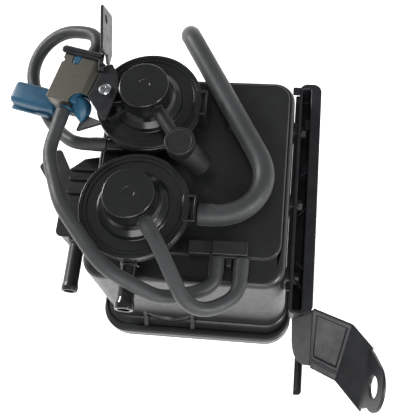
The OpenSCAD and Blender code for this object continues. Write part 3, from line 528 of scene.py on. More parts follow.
def plate(outline: np.ndarray, low: float, high: float, ease: float,
          holes: list[np.ndarray] | None = None) -> Patch:
    """A flat plate with rounded edges: the edge profile is carried round the outline and round each hole.

    Args:
        outline: counter-clockwise points.
        low: lower face.
        high: upper face.
        ease: edge radius.
        holes: counter-clockwise points of each hole.

    Returns:
        The closed patch.
    """
    profile = rounded_edge(low, high, ease)
    parts: list[Patch] = []
    rims: list[tuple[np.ndarray, np.ndarray]] = []
    for number, line in enumerate([outline, *(holes or [])]):
        rows = np.stack([np.column_stack([inset(line, -gap)[::-1] if number else inset(line, gap),
                                          np.full(len(line), z)]) for gap, z in profile])
        parts.append(lattice(rows))
        rims.append((rows[0], rows[-1]))
    for side, up in ((0, False), (1, True)):
        loops = [rim[side] for rim in rims]
        points = np.vstack(loops)
        tris = tessellate_polygon([[Vector(p) for p in loop] for loop in loops])
        a, b, c = (points[[t[i] for t in tris]] for i in range(3))
        lift = np.cross(b - a, c - a)[:, 2] > 0
        faces = [tuple(t) if bool(keep) == up else tuple(t[::-1]) for t, keep in zip(tris, lift)]
        parts.append(Patch(points, faces))
    return joined(parts)


def rounded_box(low: Triple, high: Triple, corner: float, ease: float) -> Patch:
    """An upright block with round corners in plan and eased top and bottom edges.

    Args:
        low: lowest corner.
        high: highest corner.
        corner: plan corner radius.
        ease: edge radius.

    Returns:
        The closed patch.
    """
    (x0, y0, z0), (x1, y1, z1) = low, high
    outline = eased([(x0, y0, corner), (x1, y0, corner), (x1, y1, corner), (x0, y1, corner)], closed=True)
    return plate(outline, z0, z1, ease)


def level_across(way: np.ndarray) -> np.ndarray:
    """A level direction at right angles to another, or one at right angles to X where that one is steep.

    Args:
        way: the other direction, of length one.

    Returns:
        The direction, of length one.
    """
    return unit(np.cross([0.0, 0.0, 1.0] if abs(way[2]) < 0.9 else [1.0, 0.0, 0.0], way))


def frame_at(origin: np.ndarray, forward: np.ndarray) -> np.ndarray:
    """A placement whose Z runs along a direction, with X level unless that direction is steep.

    Args:
        origin: where it stands.
        forward: its Z direction.

    Returns:
        The 4 by 4 matrix.
    """
    z = unit(forward)
    x = level_across(z)
    out = np.eye(4)
    out[:3, 0], out[:3, 1], out[:3, 2], out[:3, 3] = x, np.cross(z, x), z, origin
    return out


def shift(x: float, y: float, z: float, turn: float = 0.0) -> np.ndarray:
    """A placement that turns about Z by degrees and then moves.

    Args:
        x: move along X.
        y: move along Y.
        z: move along Z.
        turn: turn about Z, in degrees.

    Returns:
        The 4 by 4 matrix.
    """
    out = turned(2, turn)
    out[:3, 3] = (x, y, z)
    return out


def turned(axis: int, degrees: float) -> np.ndarray:
    """A turn about one of the axes.

    Args:
        axis: 0 for X, 1 for Y, 2 for Z.
        degrees: how far, right-handed.

    Returns:
        The 4 by 4 matrix.
    """
    out = np.eye(4)
    i, j = (axis + 1) % 3, (axis + 2) % 3
    c, s = np.cos(np.radians(degrees)), np.sin(np.radians(degrees))
    out[i, i], out[i, j], out[j, i], out[j, j] = c, -s, s, c
    return out


def piece(node: str, patch: Patch, kind: Finish, smooth: float = 32.0,
          part: str = "skin") -> bpy.types.Object:
    """Makes an object from a patch, dresses it, ties it to the canister and lets it stand for a solid.

    Args:
        node: the solid's name.
        patch: the surface.
        kind: its finish.
        smooth: edges that turn less than this many degrees are shaded smooth.
        part: what follows the solid's name in the object's own.

    Returns:
        The new object.
    """
    name = f"{node}_{part}"
    mesh = bpy.data.meshes.new(name)
    mesh.from_pydata((patch.points * MM).tolist(), [], patch.faces)
    mesh.polygons.foreach_set("use_smooth", np.ones(len(mesh.polygons), bool))
    mesh.set_sharp_from_angle(angle=np.radians(smooth))
    mesh.materials.append(finish_of(kind))
    made = bpy.data.objects.new(name, mesh)
    bpy.context.scene.collection.objects.link(made)
    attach(made, ROOT)
    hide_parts(node)
    log.info("piece %s: %d faces", name, len(mesh.polygons))
    return made


# Hoses


def run_of(line: np.ndarray) -> np.ndarray:
    """How far along a line each of its points lies.

    Args:
        line: the points.

    Returns:
        The distances, from 0.
    """
    return np.concatenate([[0.0], np.cumsum(np.linalg.norm(np.diff(line, axis=0), axis=1))])


def sampled(s: np.ndarray, run: np.ndarray, line: np.ndarray) -> np.ndarray:
    """Points of a line at given distances along it.

    Args:
        s: the distances.
        run: the distance of each of the line's own points.
        line: those points.

    Returns:
        The points.
    """
    return np.stack([np.interp(s, run, line[:, k]) for k in range(3)], 1)


@dataclass
class Hose:
    """One rubber hose: a tube along straights with a round bend at each corner."""

    node: str
    corners: list[Triple]
    bends: list[float]
    radius: float
    bore: float
    swell: float = 0.3
    sides: int = 40
    ease: float = 0.7
    blend: float = 5.0
    push: float = 12.0
    fade: float = 10.0
    row: float = 1.6

    def route(self) -> np.ndarray:
        """Centre line: straights, and at each inner corner an arc that touches both, eased into each other.

        The easing is a bell-weighted mean along the line, which fades out over the straight ends.

        Returns:
            Points along the line, about half a millimetre apart.
        """
        at = np.array(self.corners, float)
        ways = unit(np.diff(at, axis=0))
        line = [at[:1]]
        for i, radius in enumerate(self.bends, start=1):
            d, e = ways[i - 1], ways[i]
            turn = np.arccos(np.clip(d @ e, -1, 1))
            side = unit(e - (d @ e) * d)
            t = np.linspace(0, turn, max(3, int(np.degrees(turn) / 4)))[:, None]
            line.append(at[i] - d * radius * np.tan(turn / 2)
                        + radius * (side * (1 - np.cos(t)) + d * np.sin(t)))
        line.append(at[-1:])
        bent = np.vstack(line)
        run = run_of(bent)
        s = np.linspace(0, run[-1], int(run[-1] * 2))
        bent = sampled(s, run, bent)
        bell = np.exp(-0.5 * ((s[:, None] - s[None, :]) / self.blend) ** 2)
        soft = bell @ bent / bell.sum(1, keepdims=True)
        share = soft_step((np.minimum(s, run[-1] - s) - self.push) / self.fade)[:, None]
        return bent + (soft - bent) * share

    def build(self) -> bpy.types.Object:
        """Carries a circle along the route; its radius swells over the nipples and rounds off at the ends.

        Returns:
            The hose.
        """
        line = self.route()
        run = run_of(line)
        length = run[-1]
        s = np.linspace(self.ease, length - self.ease, int(length / self.row))
        grip = np.maximum(0, 1 - np.minimum(s, length - s) / self.push)
        outer = self.radius - self.swell * (1 - np.clip(grip * 4, 0, 1))
        t = np.linspace(0, np.pi / 2, 5)[:-1]
        end_s = np.concatenate([[self.push, 0.3, 0.0], self.ease * (1 - np.cos(t))])
        end_r = np.concatenate([[self.bore, self.bore, self.bore + 0.3],
                                self.radius - self.ease * (1 - np.sin(t))])
        rows_s = np.concatenate([end_s, s, length - end_s[::-1]])
        rows_r = np.concatenate([end_r, outer, end_r[::-1]])
        centre, reach = sampled(rows_s, run, line), self.row / 4
        ahead = unit(sampled(np.minimum(rows_s + reach, length), run, line)
                     - sampled(np.maximum(rows_s - reach, 0), run, line))
        across = np.empty_like(ahead)
        across[0] = level_across(ahead[0])
        for i in range(1, len(ahead)):
            across[i] = unit(across[i - 1] - (across[i - 1] @ ahead[i]) * ahead[i])
        up = np.cross(ahead, across)
        a = np.linspace(0, 2 * np.pi, self.sides, endpoint=False)[None, :, None]
        grid = (centre[:, None]
                + rows_r[:, None, None] * (across[:, None] * np.cos(a) + up[:, None] * np.sin(a)))
        return piece(self.node, lattice(grid, capped=True), Finish.HOSE, smooth=40.0)


# Moulded pieces


def rounded_loops(x0: np.ndarray, x1: np.ndarray, y0: np.ndarray, y1: np.ndarray, r: np.ndarray,
                  z: np.ndarray, per: int = 9) -> np.ndarray:
    """Stacks rounded rectangles: each corner is a quarter circle, and the sides are straight between them.

    Args:
        x0: left side of each rectangle.
        x1: right side.
        y0: front side.
        y1: back side.
        r: corner radius.
        z: height.
        per: points in each corner.

    Returns:
        Rectangles by points by 3, counter-clockwise from above.
    """
    t = np.radians(np.linspace(-90, 0, per)[None, :] + 90 * np.arange(4)[:, None]).ravel()
    right, back = np.repeat([1, 1, 0, 0], per) > 0, np.repeat([0, 1, 1, 0], per) > 0
    r = r[:, None]
    cx = np.where(right, x1[:, None] - r, x0[:, None] + r)
    cy = np.where(back, y1[:, None] - r, y0[:, None] + r)
    return np.stack([cx + r * np.cos(t), cy + r * np.sin(t), np.broadcast_to(z[:, None], cx.shape)], -1)


def pipe(start: Triple, end: Triple, skin: list[Triple], bore: float, depth: float) -> Patch:
    """A round pipe along a line: an outside profile turned about it, with a blind bore at its far end.

    Args:
        start: root of the pipe.
        end: its open end.
        skin: distance along, radius and corner easing of each outside point.
        bore: bore radius.
        depth: bore depth.

    Returns:
        The closed patch.
    """
    a, b = np.array(start, float), np.array(end, float)
    length = float(np.linalg.norm(b - a))
    outside = eased([(0.0, skin[0][0], 0.0)] + [(r, s, e) for s, r, e in skin]
                    + [(bore, length, 0.3), (bore, length - depth, 0.0), (0.0, length - depth, 0.0)])
    return lathe(outside, sides=48).placed(frame_at(a, b - a))


# Turns a flat outline to stand up: its axes become Y, Z, X, or X, Z and minus Y
YZX = np.array([[0, 0, 1, 0], [1, 0, 0, 0], [0, 1, 0, 0], [0, 0, 0, 1]], float)
XZY = np.array([[1, 0, 0, 0], [0, 0, -1, 0], [0, 1, 0, 0], [0, 0, 0, 1]], float)


@dataclass
class Box:
    """The moulded box: two weld flanges, a wall with a soft deck edge, and a raised plateau on the deck."""

    half_x: float = 68.5
    half_y: float = 77.5
    height: float = 118.0
    corner: float = 15.0
    side_lip: float = 5.5
    front_lip: float = 15.0
    weld: float = 9.0
    lip_top: float = 18.0
    rise: float = 1.5
    plateau_x: float = 64.0
    plateau_front: float = -57.5
    plateau_back: float = 73.0
    plateau_r: float = 10.5
    chamber_top: float = 108.0
    chamber_out: float = 23.0
    fin_r: float = 3.2
    fin_at: Pair = (24.2, 35.5)
    pad_z: float = 91.0
    pads_y: tuple[float, ...] = (50.0, -8.0, -62.0)

    def stack(self, profile: np.ndarray) -> np.ndarray:
        """Carries a profile round the box: q outwards of the wall, more at the front, or inwards if negative.

        Args:
            profile: q and height of each point.

        Returns:
            The loops.
        """
        q, z = profile[:, 0], profile[:, 1]
        front = np.where(q > 0, q * self.front_lip / self.side_lip, q)
        return rounded_loops(-self.half_x - q, self.half_x + q, -self.half_y - front, self.half_y + q,
                             np.maximum(self.corner + q, 0.5), z)

    def shell(self) -> Patch:
        """Flange with a groove behind its lip, wall, soft deck edge, then the plateau's own loops.

        Returns:
            The closed outside of the box.
        """
        lip, top, high = self.side_lip, self.lip_top, self.height
        wall = self.stack(eased([
            (-14.0, self.weld, 0), (lip - 0.5, self.weld, 0.3), (lip, self.weld + 0.9, 0.5), (lip, top, 1.6),
            (lip - 2.0, top, 0.6), (lip - 2.4, top - 1.6, 0.5), (0.8, top - 1.6, 2.0), (-0.3, high, 4.5),
            (-6.0, high, 0)]))
        step = eased([(1.6, high, 0), (0.9, high, 0.5), (0.0, high + self.rise, 0.9),
                      (-10.0, high + self.rise, 0)])
        q, z = step[:, 0], step[:, 1]
        deck = rounded_loops(-self.plateau_x - q, self.plateau_x + q, self.plateau_front - q,
                             self.plateau_back + q, self.plateau_r + np.maximum(q, -9.5), z)
        return lattice(np.concatenate([wall, deck]), capped=True)

    def cover(self) -> Patch:
        """The bottom cover: an eased foot edge and a straight side up to the weld line.

        Returns:
            The closed cover.
        """
        lip = self.side_lip
        return lattice(self.stack(eased([
            (-14.0, 0.0, 0), (lip - 0.4, 0.0, 1.6), (lip, self.weld - 0.8, 0.4), (lip - 0.6, self.weld, 0.3),
            (-14.0, self.weld, 0)])), capped=True)

    def chamber(self) -> list[Patch]:
        """The side chamber, its roof ribs and the hose guide plate.

        Returns:
            The chamber, the guide plate and the ribs.
        """
        x, out = -self.half_x, -self.half_x - self.chamber_out
        top = self.chamber_top
        plan = eased([(x + 1, -46, 0.5), (x + 1, 14, 0.5), (x - 11.5, 11.5, 3), (out, 1.5, 3),
                      (out, -46, 3)][::-1], closed=True)
        guide = eased([(out + 2.5, 0, 1), (out - 12, 25, 3), (out - 26, 9, 3), (out - 12, -10, 3),
                       (out + 2.5, -16, 1)], closed=True)
        ribs = [rounded_box((out + 2, y, top - 1), (x + 1, y + 1.8, top + 2), 0.5, 0.4)
                for y in (3.0, -4.5, -15.0)]
        return [plate(plan, top - 38, top, 1.4), plate(guide, top - 10, top - 7.5, 0.6)] + ribs

    def ports(self) -> list[Patch]:
        """The port block with its ledge, and the two nipples under the hoses.

        Returns:
            The block's parts and the nipples.
        """
        low, high = self.height - 2.5, self.height + 12.5
        block = rounded_box((20.5, -60.0, low), (43.5, -50.5, high), 1.2, 0.7)
        ledge = rounded_box((4.0, -59.0, low), (22.0, -49.5, high - 4.5), 1.2, 0.7)
        lip = rounded_box((19.0, -61.2, low), (44.0, -58.0, high - 2.6), 0.8, 0.5)
        web = rounded_box((29.8, -66.0, low - 4.0), (33.6, -58.0, high - 4.8), 0.8, 0.6)
        return [block, ledge, lip, web] + [
            pipe((x, -59.0, self.height + 6), (x, -73.0, self.height + 6),
                 [(0, 3, 0), (14.0, 3, 0.4)], 1.8, 6.0)
            for x in (23.6, 39.7)]

    def gussets(self) -> list[Patch]:
        """Two gusset ribs on the front, and the web between them, whose top edge hangs like a chain.

        Returns:
            The ribs and the web.
        """
        foot, face = self.lip_top - 2.0, -self.half_y
        rib = eased([(face + 1, foot, 0), (face + 1, foot + 20, 0), (face - 1.4, foot + 18, 1.5),
                     (face - 4.0, foot + 8, 5), (face - 9.6, foot + 2.5, 1), (face - 9.6, foot, 0)][::-1],
                     closed=True)
        ribs = [plate(rib, x, x + 3.4, 0.6).placed(YZX) for x in (-39.5, -3.0)]
        x = np.linspace(-37.0, -2.0, 29)
        sag = ((x - x.mean()) / np.ptp(x) * 2) ** 2
        high = foot + 3.5 + 12.5 * sag
        out = face - 5.0 + 3.0 * sag
        inner = np.full_like(x, face + 1)
        low = np.full_like(x, foot)
        ring = [(inner, low), (inner, high + 2.0), (out + 2.2, high + 0.6), (out + 0.7, high - 0.5),
                (out, high - 2.0), (out, low)]
        grid = np.stack([np.stack([x, y, z], -1) for y, z in ring], 1)
        return ribs + [lattice(grid, capped=True)]

    def stub(self) -> Patch:
        """The side pipe stub: a root collar, a plain pipe and a bead at its end.

        Returns:
            The stub.
        """
        return pipe((-78.5, -45.0, 100.0), (-78.5, -84.0, 100.0),
                    [(0, 6.6, 0), (5.0, 6.6, 0.6), (5.3, 5.2, 0.5), (33.0, 5.2, 0.8), (36.0, 5.8, 0.8),
                     (39.0, 5.3, 0.5)], 3.6, 14.0)

    def deck_fin(self) -> Patch:
        """A small half-round fin on the deck.

        Returns:
            The fin.
        """
        r, t = self.fin_r, np.linspace(0, np.pi, 13)
        arch = np.vstack([[[-r, 0.0]], np.stack([-r * np.cos(t), 2.0 + r * np.sin(t)], 1), [[r, 0.0]]])
        return plate(arch[::-1], -1.0, 1.0, 0.4).placed(XZY).placed(shift(*self.fin_at, self.height + 1.0))

    def pads(self) -> list[Patch]:
        """The round pads that carry the steel rail."""
        x, z = self.half_x, self.pad_z
        return [pipe((x - 1, y, z), (x + 3, y, z), [(0, 8, 0), (4.0, 8, 0.4)], 2.5, 2.0) for y in self.pads_y]

    def build(self) -> None:
        """Builds the box and its bottom cover."""
        parts = [self.shell(), *self.chamber(), *self.ports(), *self.gussets(), self.stub(), self.deck_fin(),
                 *self.pads()]
        piece("canister_body", joined(parts), Finish.BODY)
        piece("base_cover", self.cover(), Finish.BODY)


# Diaphragm valves


@dataclass
class Valve:
    """One diaphragm valve: a clamped cover with a round cap, over a lower housing with its pipes and ear."""

    number: int
    x: float
    y: float
    deck: float = 119.5
    rim_r: float = 37.0
    cup_r: float = 30.0
    foot_r: float = 24.0
    cap_r: float = 16.8
    cap_top: float = 41.0
    joint: float = 15.5
    rim_t: float = 5.0
    wall: float = 2.0
    ear_half: float = 9.5
    ear_reach: float = 41.0
    port_z: float = 9.5
    stub_z: float = 6.9
    stub_end: float = -67.0
    boss_reach: float = 28.0
    boss_top: float = 29.9
    nipple_turn: float = -54.0
    nipple_z: float = 32.5
    nipple_root: float = 17.5
    nipple_out: float = 30.5
    lift: float = 2.5

    def around(self, radius: float, turn: float, z: float) -> Triple:
        """A point round the valve, in the part's frame."""
        a = np.radians(turn)
        return (self.x + radius * float(np.cos(a)), self.y + radius * float(np.sin(a)), self.deck + z)

    def cover(self) -> Patch:
        """The cover's profile, turned: the inside from the roof down, then the grooved rim, foot and cap.

        Returns:
            The cover's surface.
        """
        r, f, c, j = self.rim_r, self.foot_r, self.cap_r, self.joint
        top, roof = j + self.rim_t, self.cap_top - 3.0
        inner = [(0.0, roof, 0), (c - self.wall - 0.7, roof, 1.0), (c - self.wall, 25.4, 1.0),
                 (19.4, 21.1, 1.0), (20.0, j + self.wall, 0.5), (r - 8, j + self.wall, 0.8),
                 (r - 8, j, 0)]
        rim = [(r - 0.5, j, 0.2), (r, j + 0.6, 0.2), (r, j + 1.9, 0.3), (r - 0.7, j + 2.3, 0.2),
               (r - 0.7, j + 2.8, 0.2), (r, j + 3.2, 0.3), (r, top, 0.7), (r - 2.4, top, 0.4),
               (r - 2.9, top - 0.8, 0.3), (r - 5.0, top - 0.8, 0.3), (r - 5.5, top - 1.5, 0.3)]
        crown = [(f + 0.4, top - 1.5, 0.9), (f - 1.0, top + 1.4, 0.9), (c + 2.6, top + 3.7, 1.0),
                 (c + 0.7, 27.0, 1.2), (c, self.cap_top, 1.1), (4.3, self.cap_top, 0.3),
                 (4.0, self.cap_top - 0.5, 0.3), (0.0, self.cap_top - 0.5, 0)]
        return lathe(eased(inner + rim + crown), sides=144)

    def housing(self) -> Patch:
        """The lower housing, turned: a cup under a grooved clamp rim of the cover's own radius.

        Returns:
            The housing's surface.
        """
        r, c, j = self.rim_r, self.cup_r, self.joint
        outer = [(0.0, 0.2, 0), (c - 2, 0.2, 0.5), (c - 1, 0.7, 0.6), (c, 8.0, 2.0), (r - 0.8, j - 5.5, 1.2),
                 (r - 0.2, j - 3.6, 0.6), (r - 0.2, j - 1.1, 0.3), (r - 0.9, j - 0.3, 0.2),
                 (r - 9, j - 0.3, 0.0), (r - 9, 2.2, 0.0), (0.0, 2.2, 0)]
        return lathe(eased(outer), sides=144)

    def ear(self) -> list[Patch]:
        """The ear at the port: a block with a raised rectangular frame round a pocket.

        Returns:
            The block and the frame.
        """
        low, high = self.rim_r - 5.0, self.ear_reach
        top = self.joint + self.rim_t + 0.6
        half = self.ear_half
        frame = eased([(low, -half, 1.2), (high, -half, 1.5), (high, half, 1.5), (low, half, 1.2)],
                      closed=True)
        pocket = eased([(low + 3.4, 1.6 - half, 0.6), (high - 1.3, 1.6 - half, 0.6),
                        (high - 1.3, half - 1.6, 0.6), (low + 3.4, half - 1.6, 0.6)], closed=True)
        return [plate(frame, 1.0, top - 4.5, 0.6), plate(frame, top - 5.0, top, 0.4, [pocket])]

    def stub(self) -> Patch:
        """The housing's own pipe stub, out of its front, with a flared open end.

        Returns:
            The stub.
        """
        root, end = -self.cup_r + 4, self.stub_end
        long = root - end
        return pipe((0.0, root, self.stub_z), (0.0, end, self.stub_z),
                    [(0, 6.8, 0), (12.0, 6.8, 0.8), (12.4, 6.0, 0.5), (long - 7.5, 5.7, 1.0),
                     (long - 3.6, 6.5, 1.0), (long, 6.1, 0.7)], 4.2, 18.0)

    def ports(self) -> tuple[list[Patch], list[Patch]]:
        """The pipes of the cover and of the housing, which differ between the two valves.

        Returns:
            What joins the cover, and what joins the housing.
        """
        turn = np.radians(self.nipple_turn)
        way = np.array([np.cos(turn), np.sin(turn), 0.0])
        lift = np.array([0.0, 0.0, self.nipple_z])
        root = self.cap_r - 2.0
        neck, long = self.nipple_root - root, self.nipple_out - root
        upper = [pipe(tuple(way * root + lift), tuple(way * self.nipple_out + lift),
                      [(0, 4.4, 0), (neck, 4.4, 0.4), (neck + 0.2, 3.0, 0.3), (long, 3.0, 0.4)], 1.8, 6.0)]
        if self.number == 1:
            return upper, [self.stub(), pipe(
                (self.ear_reach - 6, 0.0, self.port_z), (self.ear_reach + 14.0, 0.0, self.port_z),
                [(0, 6.4, 0), (5.9, 6.4, 0.4), (6.1, 4.5, 0.3), (20.0, 4.5, 0.5)], 3.0, 8.0)]
        low, top = self.joint + 2, self.boss_top
        boss = eased([(0, low, 0), (5.0, low, 0), (4.7, top, 0.6), (2.2, top, 0.3), (2.0, top - 1.2, 0.2),
                      (0, top - 1.2, 0)])
        upper.append(lathe(boss, sides=40).placed(shift(-self.boss_reach, 0, 0)))
        rib = rounded_box((self.cap_r - 1, -1.0, low), (self.rim_r - 6.0, 1.0, 25.5), 0.5, 0.4)
        upper += [rib.placed(shift(0, 0, 0, a)) for a in (168.0, 192.0, 216.0)]
        return upper, [pipe((-14.0, -28.5, 6.0), (-42.0, -28.5, 6.0),
                            [(0, 4.6, 0), (13.8, 4.6, 0.4), (14.0, 3.0, 0.3), (28.0, 3.0, 0.4)], 1.8, 6.0)]

    def build(self) -> None:
        """Builds the cover and the housing."""
        here = shift(self.x, self.y, self.deck)
        upper, lower = self.ports()
        for part, made in (("cover", [self.cover(), *upper]),
                           ("body", [self.housing(), *self.ear(), *lower])):
            piece(f"valve_{self.number}_{part}", joined(made).placed(here), Finish.VALVE)


@dataclass
class VentCap:
    """The rubber vent cap: a disc on a sleeve, with a leaning tube that opens downwards."""

    valve: Valve
    reach: float = 47.5
    disc_r: float = 10.2
    tube_r: float = 8.8
    base: float = 25.0
    top: float = 37.5
    foot: Triple = (12.1, -4.6, 10.0)
    sleeve_r: float = 4.5
    sleeve_from: float = 17.9

    def build(self) -> None:
        """Turns the disc, and carries the tube and the sleeve along their lines."""
        v = self.valve
        a = np.radians(v.nipple_turn)
        way = np.array([np.cos(a), np.sin(a), 0.0])
        c = way * self.reach
        r, t = self.disc_r, self.top
        disc = lathe(eased([
            (0, self.base, 0), (r - 0.8, self.base, 1.2), (r, t - 3.4, 1.0), (r, t, 1.2), (r - 2.0, t, 0.4),
            (r - 2.4, t - 0.5, 0.4), (0, t - 0.3, 0)]), sides=64).placed(shift(c[0], c[1], 0))
        hub = c + [0, 0, t - self.tube_r]
        foot = np.array([c[0] + self.foot[0], c[1] + self.foot[1], self.foot[2]])
        far = float(np.linalg.norm(foot - hub))
        tube = pipe(tuple(hub), tuple(foot),
                    [(-6, 3.0, 0), (-6, 5.0, 2), (0, self.tube_r, 5), (far, self.tube_r, 0.9)],
                    self.tube_r - 1.8, far * 0.7)
        root, end = way * self.sleeve_from + [0, 0, v.nipple_z], c + [0, 0, v.nipple_z]
        long = float(np.linalg.norm(end - root))
        sleeve = lathe(eased([(0, 6, 0), (3.2, 6, 0), (3.2, 0, 0.3), (self.sleeve_r, 0, 0.6),
                              (self.sleeve_r, long, 0), (0, long, 0)]),
                       sides=40).placed(frame_at(root, end - root))
        piece("vent_cap", joined([disc, tube, sleeve]).placed(shift(v.x, v.y, v.deck)), Finish.CAP)


# Solenoid valve


@dataclass
class Solenoid:
    """The solenoid valve: a blue moulding with its connector, in a folded sheet yoke."""

    x: float = -84.4
    y: float = 54.0
    z: float = 138.0
    turn: float = -13.0
    top: float = 11.8
    sheet: float = 1.6
    half_w: float = 13.6
    half_l: float = 18.3
    right: float = 16.0
    bend: float = 6.2
    leg_low: float = -9.0

    def place(self) -> np.ndarray:
        """Placement of the solenoid's own frame, whose Y runs along its axis."""
        return shift(self.x, self.y, self.z, self.turn)

    def point(self, x: float, y: float, z: float) -> Triple:
        """A point of the solenoid's own frame, in the part's frame."""
        return tuple(moved(np.array([x, y, z]), self.place()).tolist())

    def yoke(self) -> Patch:
        """The yoke: a top with an arch in front and a slot at its back, a soft right bend, and two legs.

        Returns:
            The yoke's surface.
        """
        lo, hi, w, b = self.top, self.top + self.sheet, self.half_w, self.half_l
        flat, turn = self.right - self.bend + 0.3, self.right - self.bend
        outline = eased([
            (-w, -b, 0.6), (3.1, -b, 0.4), (3.0, -15.2, 1.5), (4.6, -11.4, 2.5), (8.4, -9.9, 2.0),
            (flat, -9.8, 0.3), (flat, b, 0.3), (-0.2, b, 0.4), (-0.6, 10.8, 2.6), (-6.2, 10.8, 2.6),
            (-6.7, b, 0.4), (-w, b, 0.8), (-w, 13.8, 0.3), (1.3 - w, 13.2, 0.4), (1.3 - w, 11.0, 0.4),
            (-w, 10.4, 0.3)], closed=True)
        leg = eased([(-11, self.leg_low, 3), (3.2, self.leg_low, 1), (3.2, hi - 0.2, 0.3),
                     (-w + 0.6, hi - 0.2, 0.3), (-w + 0.6, 6.0, 1.0), (-11, 2.0, 1.0)], closed=True)
        rear = eased([(-11, self.leg_low, 3), (11, self.leg_low, 3), (11, hi - 0.6, 0.5),
                      (-11, hi - 0.6, 0.5)], closed=True)
        inner = self.bend - self.sheet
        t = np.linspace(0, np.pi / 2, 8)
        out = np.stack([turn + self.bend * np.cos(t), hi - self.bend + self.bend * np.sin(t)], 1)
        back = np.stack([turn + inner * np.cos(t), hi - self.bend + inner * np.sin(t)], 1)[::-1]
        side = np.vstack([[[self.right, -2.0]], out, back, [[self.right - self.sheet, -2.0]]])
        return joined([
            plate(outline, lo, hi, 0.35), plate(leg, b - self.sheet - 0.05, b + 0.25, 0.6).placed(XZY),
            plate(rear, -b, self.sheet - b, 0.4).placed(XZY), plate(side, -b, 9.8, 0.3).placed(XZY)])

    def nose(self) -> Patch:
        """The leaf-shaped nose: oval sections along a line, round at the yoke and pointed at the front.

        Returns:
            The nose's surface.
        """
        s = np.linspace(0.0, 1.0, 41)
        wide = 0.32
        before, after = np.clip((wide - s) / wide, 0, 1), np.clip((s - wide) / (1 - wide), 0, 1)
        size = np.maximum(np.where(s < wide, np.sqrt(1 - before ** 2), (1 - after ** 1.8) ** 0.85),
                          0.01)[:, None]
        t = np.linspace(0, 2 * np.pi, 48, endpoint=False)
        line = np.stack([6.4 + 6.3 * s ** 1.3, -6.8 - 19.4 * s, 2.4 - 1.4 * s], 1)
        x = line[:, :1] + 7.8 * size * np.cos(t)
        z = line[:, 2:] + 7.6 * size * np.sin(t)
        y = np.broadcast_to(line[:, 1:2], x.shape)
        return lattice(np.stack([x, y, z], -1), capped=True)

    def plug(self) -> Patch:
        """The connector: rounded sections round its socket, with two stepped lower rails and the arm.

        Returns:
            The connector's surface.
        """
        y, z, floor = -12.5, -8.0, -33.0
        barrel = np.array([
            (floor, 6.4, 4.5), (-46.4, 6.5, 4.6), (-46.8, 6.9, 5.0), (-46.8, 7.6, 5.7), (-46.3, 8.1, 6.1),
            (-45.0, 8.4, 6.4), (-38.0, 8.5, 6.5), (-26.0, 8.5, 6.5), (-18.0, 8.2, 6.2), (-14.0, 7.8, 5.8),
            (-12.6, 6.6, 4.8), (-12.0, 4.6, 3.4)])
        along, wide, high = barrel.T
        corner = np.minimum(high, wide) * 0.6
        parts = [lattice(rounded_loops(y - wide, y + wide, z - high, z + high, corner, along),
                         capped=True).placed(YZX)]
        low = z - 6.5
        for side, end in ((-1, -17.5), (1, -27.0)):
            rail = eased([(-48.0, low, 0.6), (end, low, 2.4), (end, low + 5.2, 2.4), (-26.0, low + 5.2, 1.0),
                          (-29.0, low + 3.0, 1.0), (-48.0, low + 3.0, 0.8)], closed=True)
            near = -(y + side * 7.8)
            parts.append(plate(rail, near - 2.3, near + 2.3, 0.8).placed(XZY))
        parts.append(rounded_box((-23.5, -14.5, z - 4.5), (-4.0, -4.3, z + 4.5), 1.5, 1.2))
        return joined(parts)

    def housing(self) -> Patch:
        """The blue moulding: a coil drum, the nose, the hose nipple, the lug in the yoke and the connector.

        Returns:
            The moulding's surface.
        """
        axis = np.array([0.0, 1.0, 0.0])
        drum = lathe(eased([(0, -16.4, 0), (11.0, -16.4, 0.8), (11.0, 16.4, 0.8), (0, 16.4, 0)]), sides=64)
        seat = lathe(eased([(0, -19.8, 0), (5.4, -19.8, 0.5), (5.4, -16.0, 0), (0, -16.0, 0)]), sides=48)
        lug = plate(eased([(-5.8, 11.4, 2.2), (-1.0, 11.4, 2.2), (-0.7, 19.0, 0.5), (-6.2, 19.0, 0.5)],
                          closed=True), 4.0, self.top + self.sheet - 0.1, 0.7)
        nipple = pipe((-2.7, -19.0, 2.0), (-1.9, -32.4, 2.0), [(0, 3, 0), (13.4, 3, 0.4)], 1.8, 6.0)
        return joined([drum.placed(frame_at(np.zeros(3), axis)),
                       seat.placed(frame_at(np.array([-1.6, 0.0, 1.0]), axis)), lug, self.nose(), nipple,
                       self.plug()])

    def build(self) -> None:
        """Builds the yoke and the blue moulding."""
        here = self.place()
        piece("solenoid_yoke", self.yoke().placed(here), Finish.ZINC)
        piece("solenoid_housing", self.housing().placed(here), Finish.BLUE)


# Steel brackets


def rod(start: np.ndarray, end: np.ndarray, radius: float) -> Patch:
    """A round bar between two points, with eased ends.

    Args:
        start: one end's middle.
        end: the other end's middle.
        radius: the bar's radius.

    Returns:
        The closed patch.
    """
    length = float(np.linalg.norm(end - start))
    line = eased([(0, 0, 0), (radius, 0, radius * 0.5), (radius, length, radius * 0.5), (0, length, 0)])
    return lathe(line, sides=24).placed(frame_at(start, end - start))


def spanned(corners: list[Triple], sheet: float, ease: float) -> Patch:
    """A flat sheet through three or more points of one plane, given counter-clockwise from its upper side.

    Args:
        corners: the points, on the upper side.
        sheet: the sheet's thickness.
        ease: its edge and corner radius.

    Returns:
        The closed patch.
    """
    at = np.array(corners, float)
    x = unit(at[1] - at[0])
    z = unit(np.cross(x, at[-1] - at[0]))
    place = np.eye(4)
    place[:3, 0], place[:3, 1], place[:3, 2], place[:3, 3] = x, np.cross(z, x), z, at[0]
    flat = (at - at[0]) @ place[:3, :2]
    return plate(eased([(u, v, 2 * ease) for u, v in flat], closed=True), -sheet, 0.0, ease).placed(place)


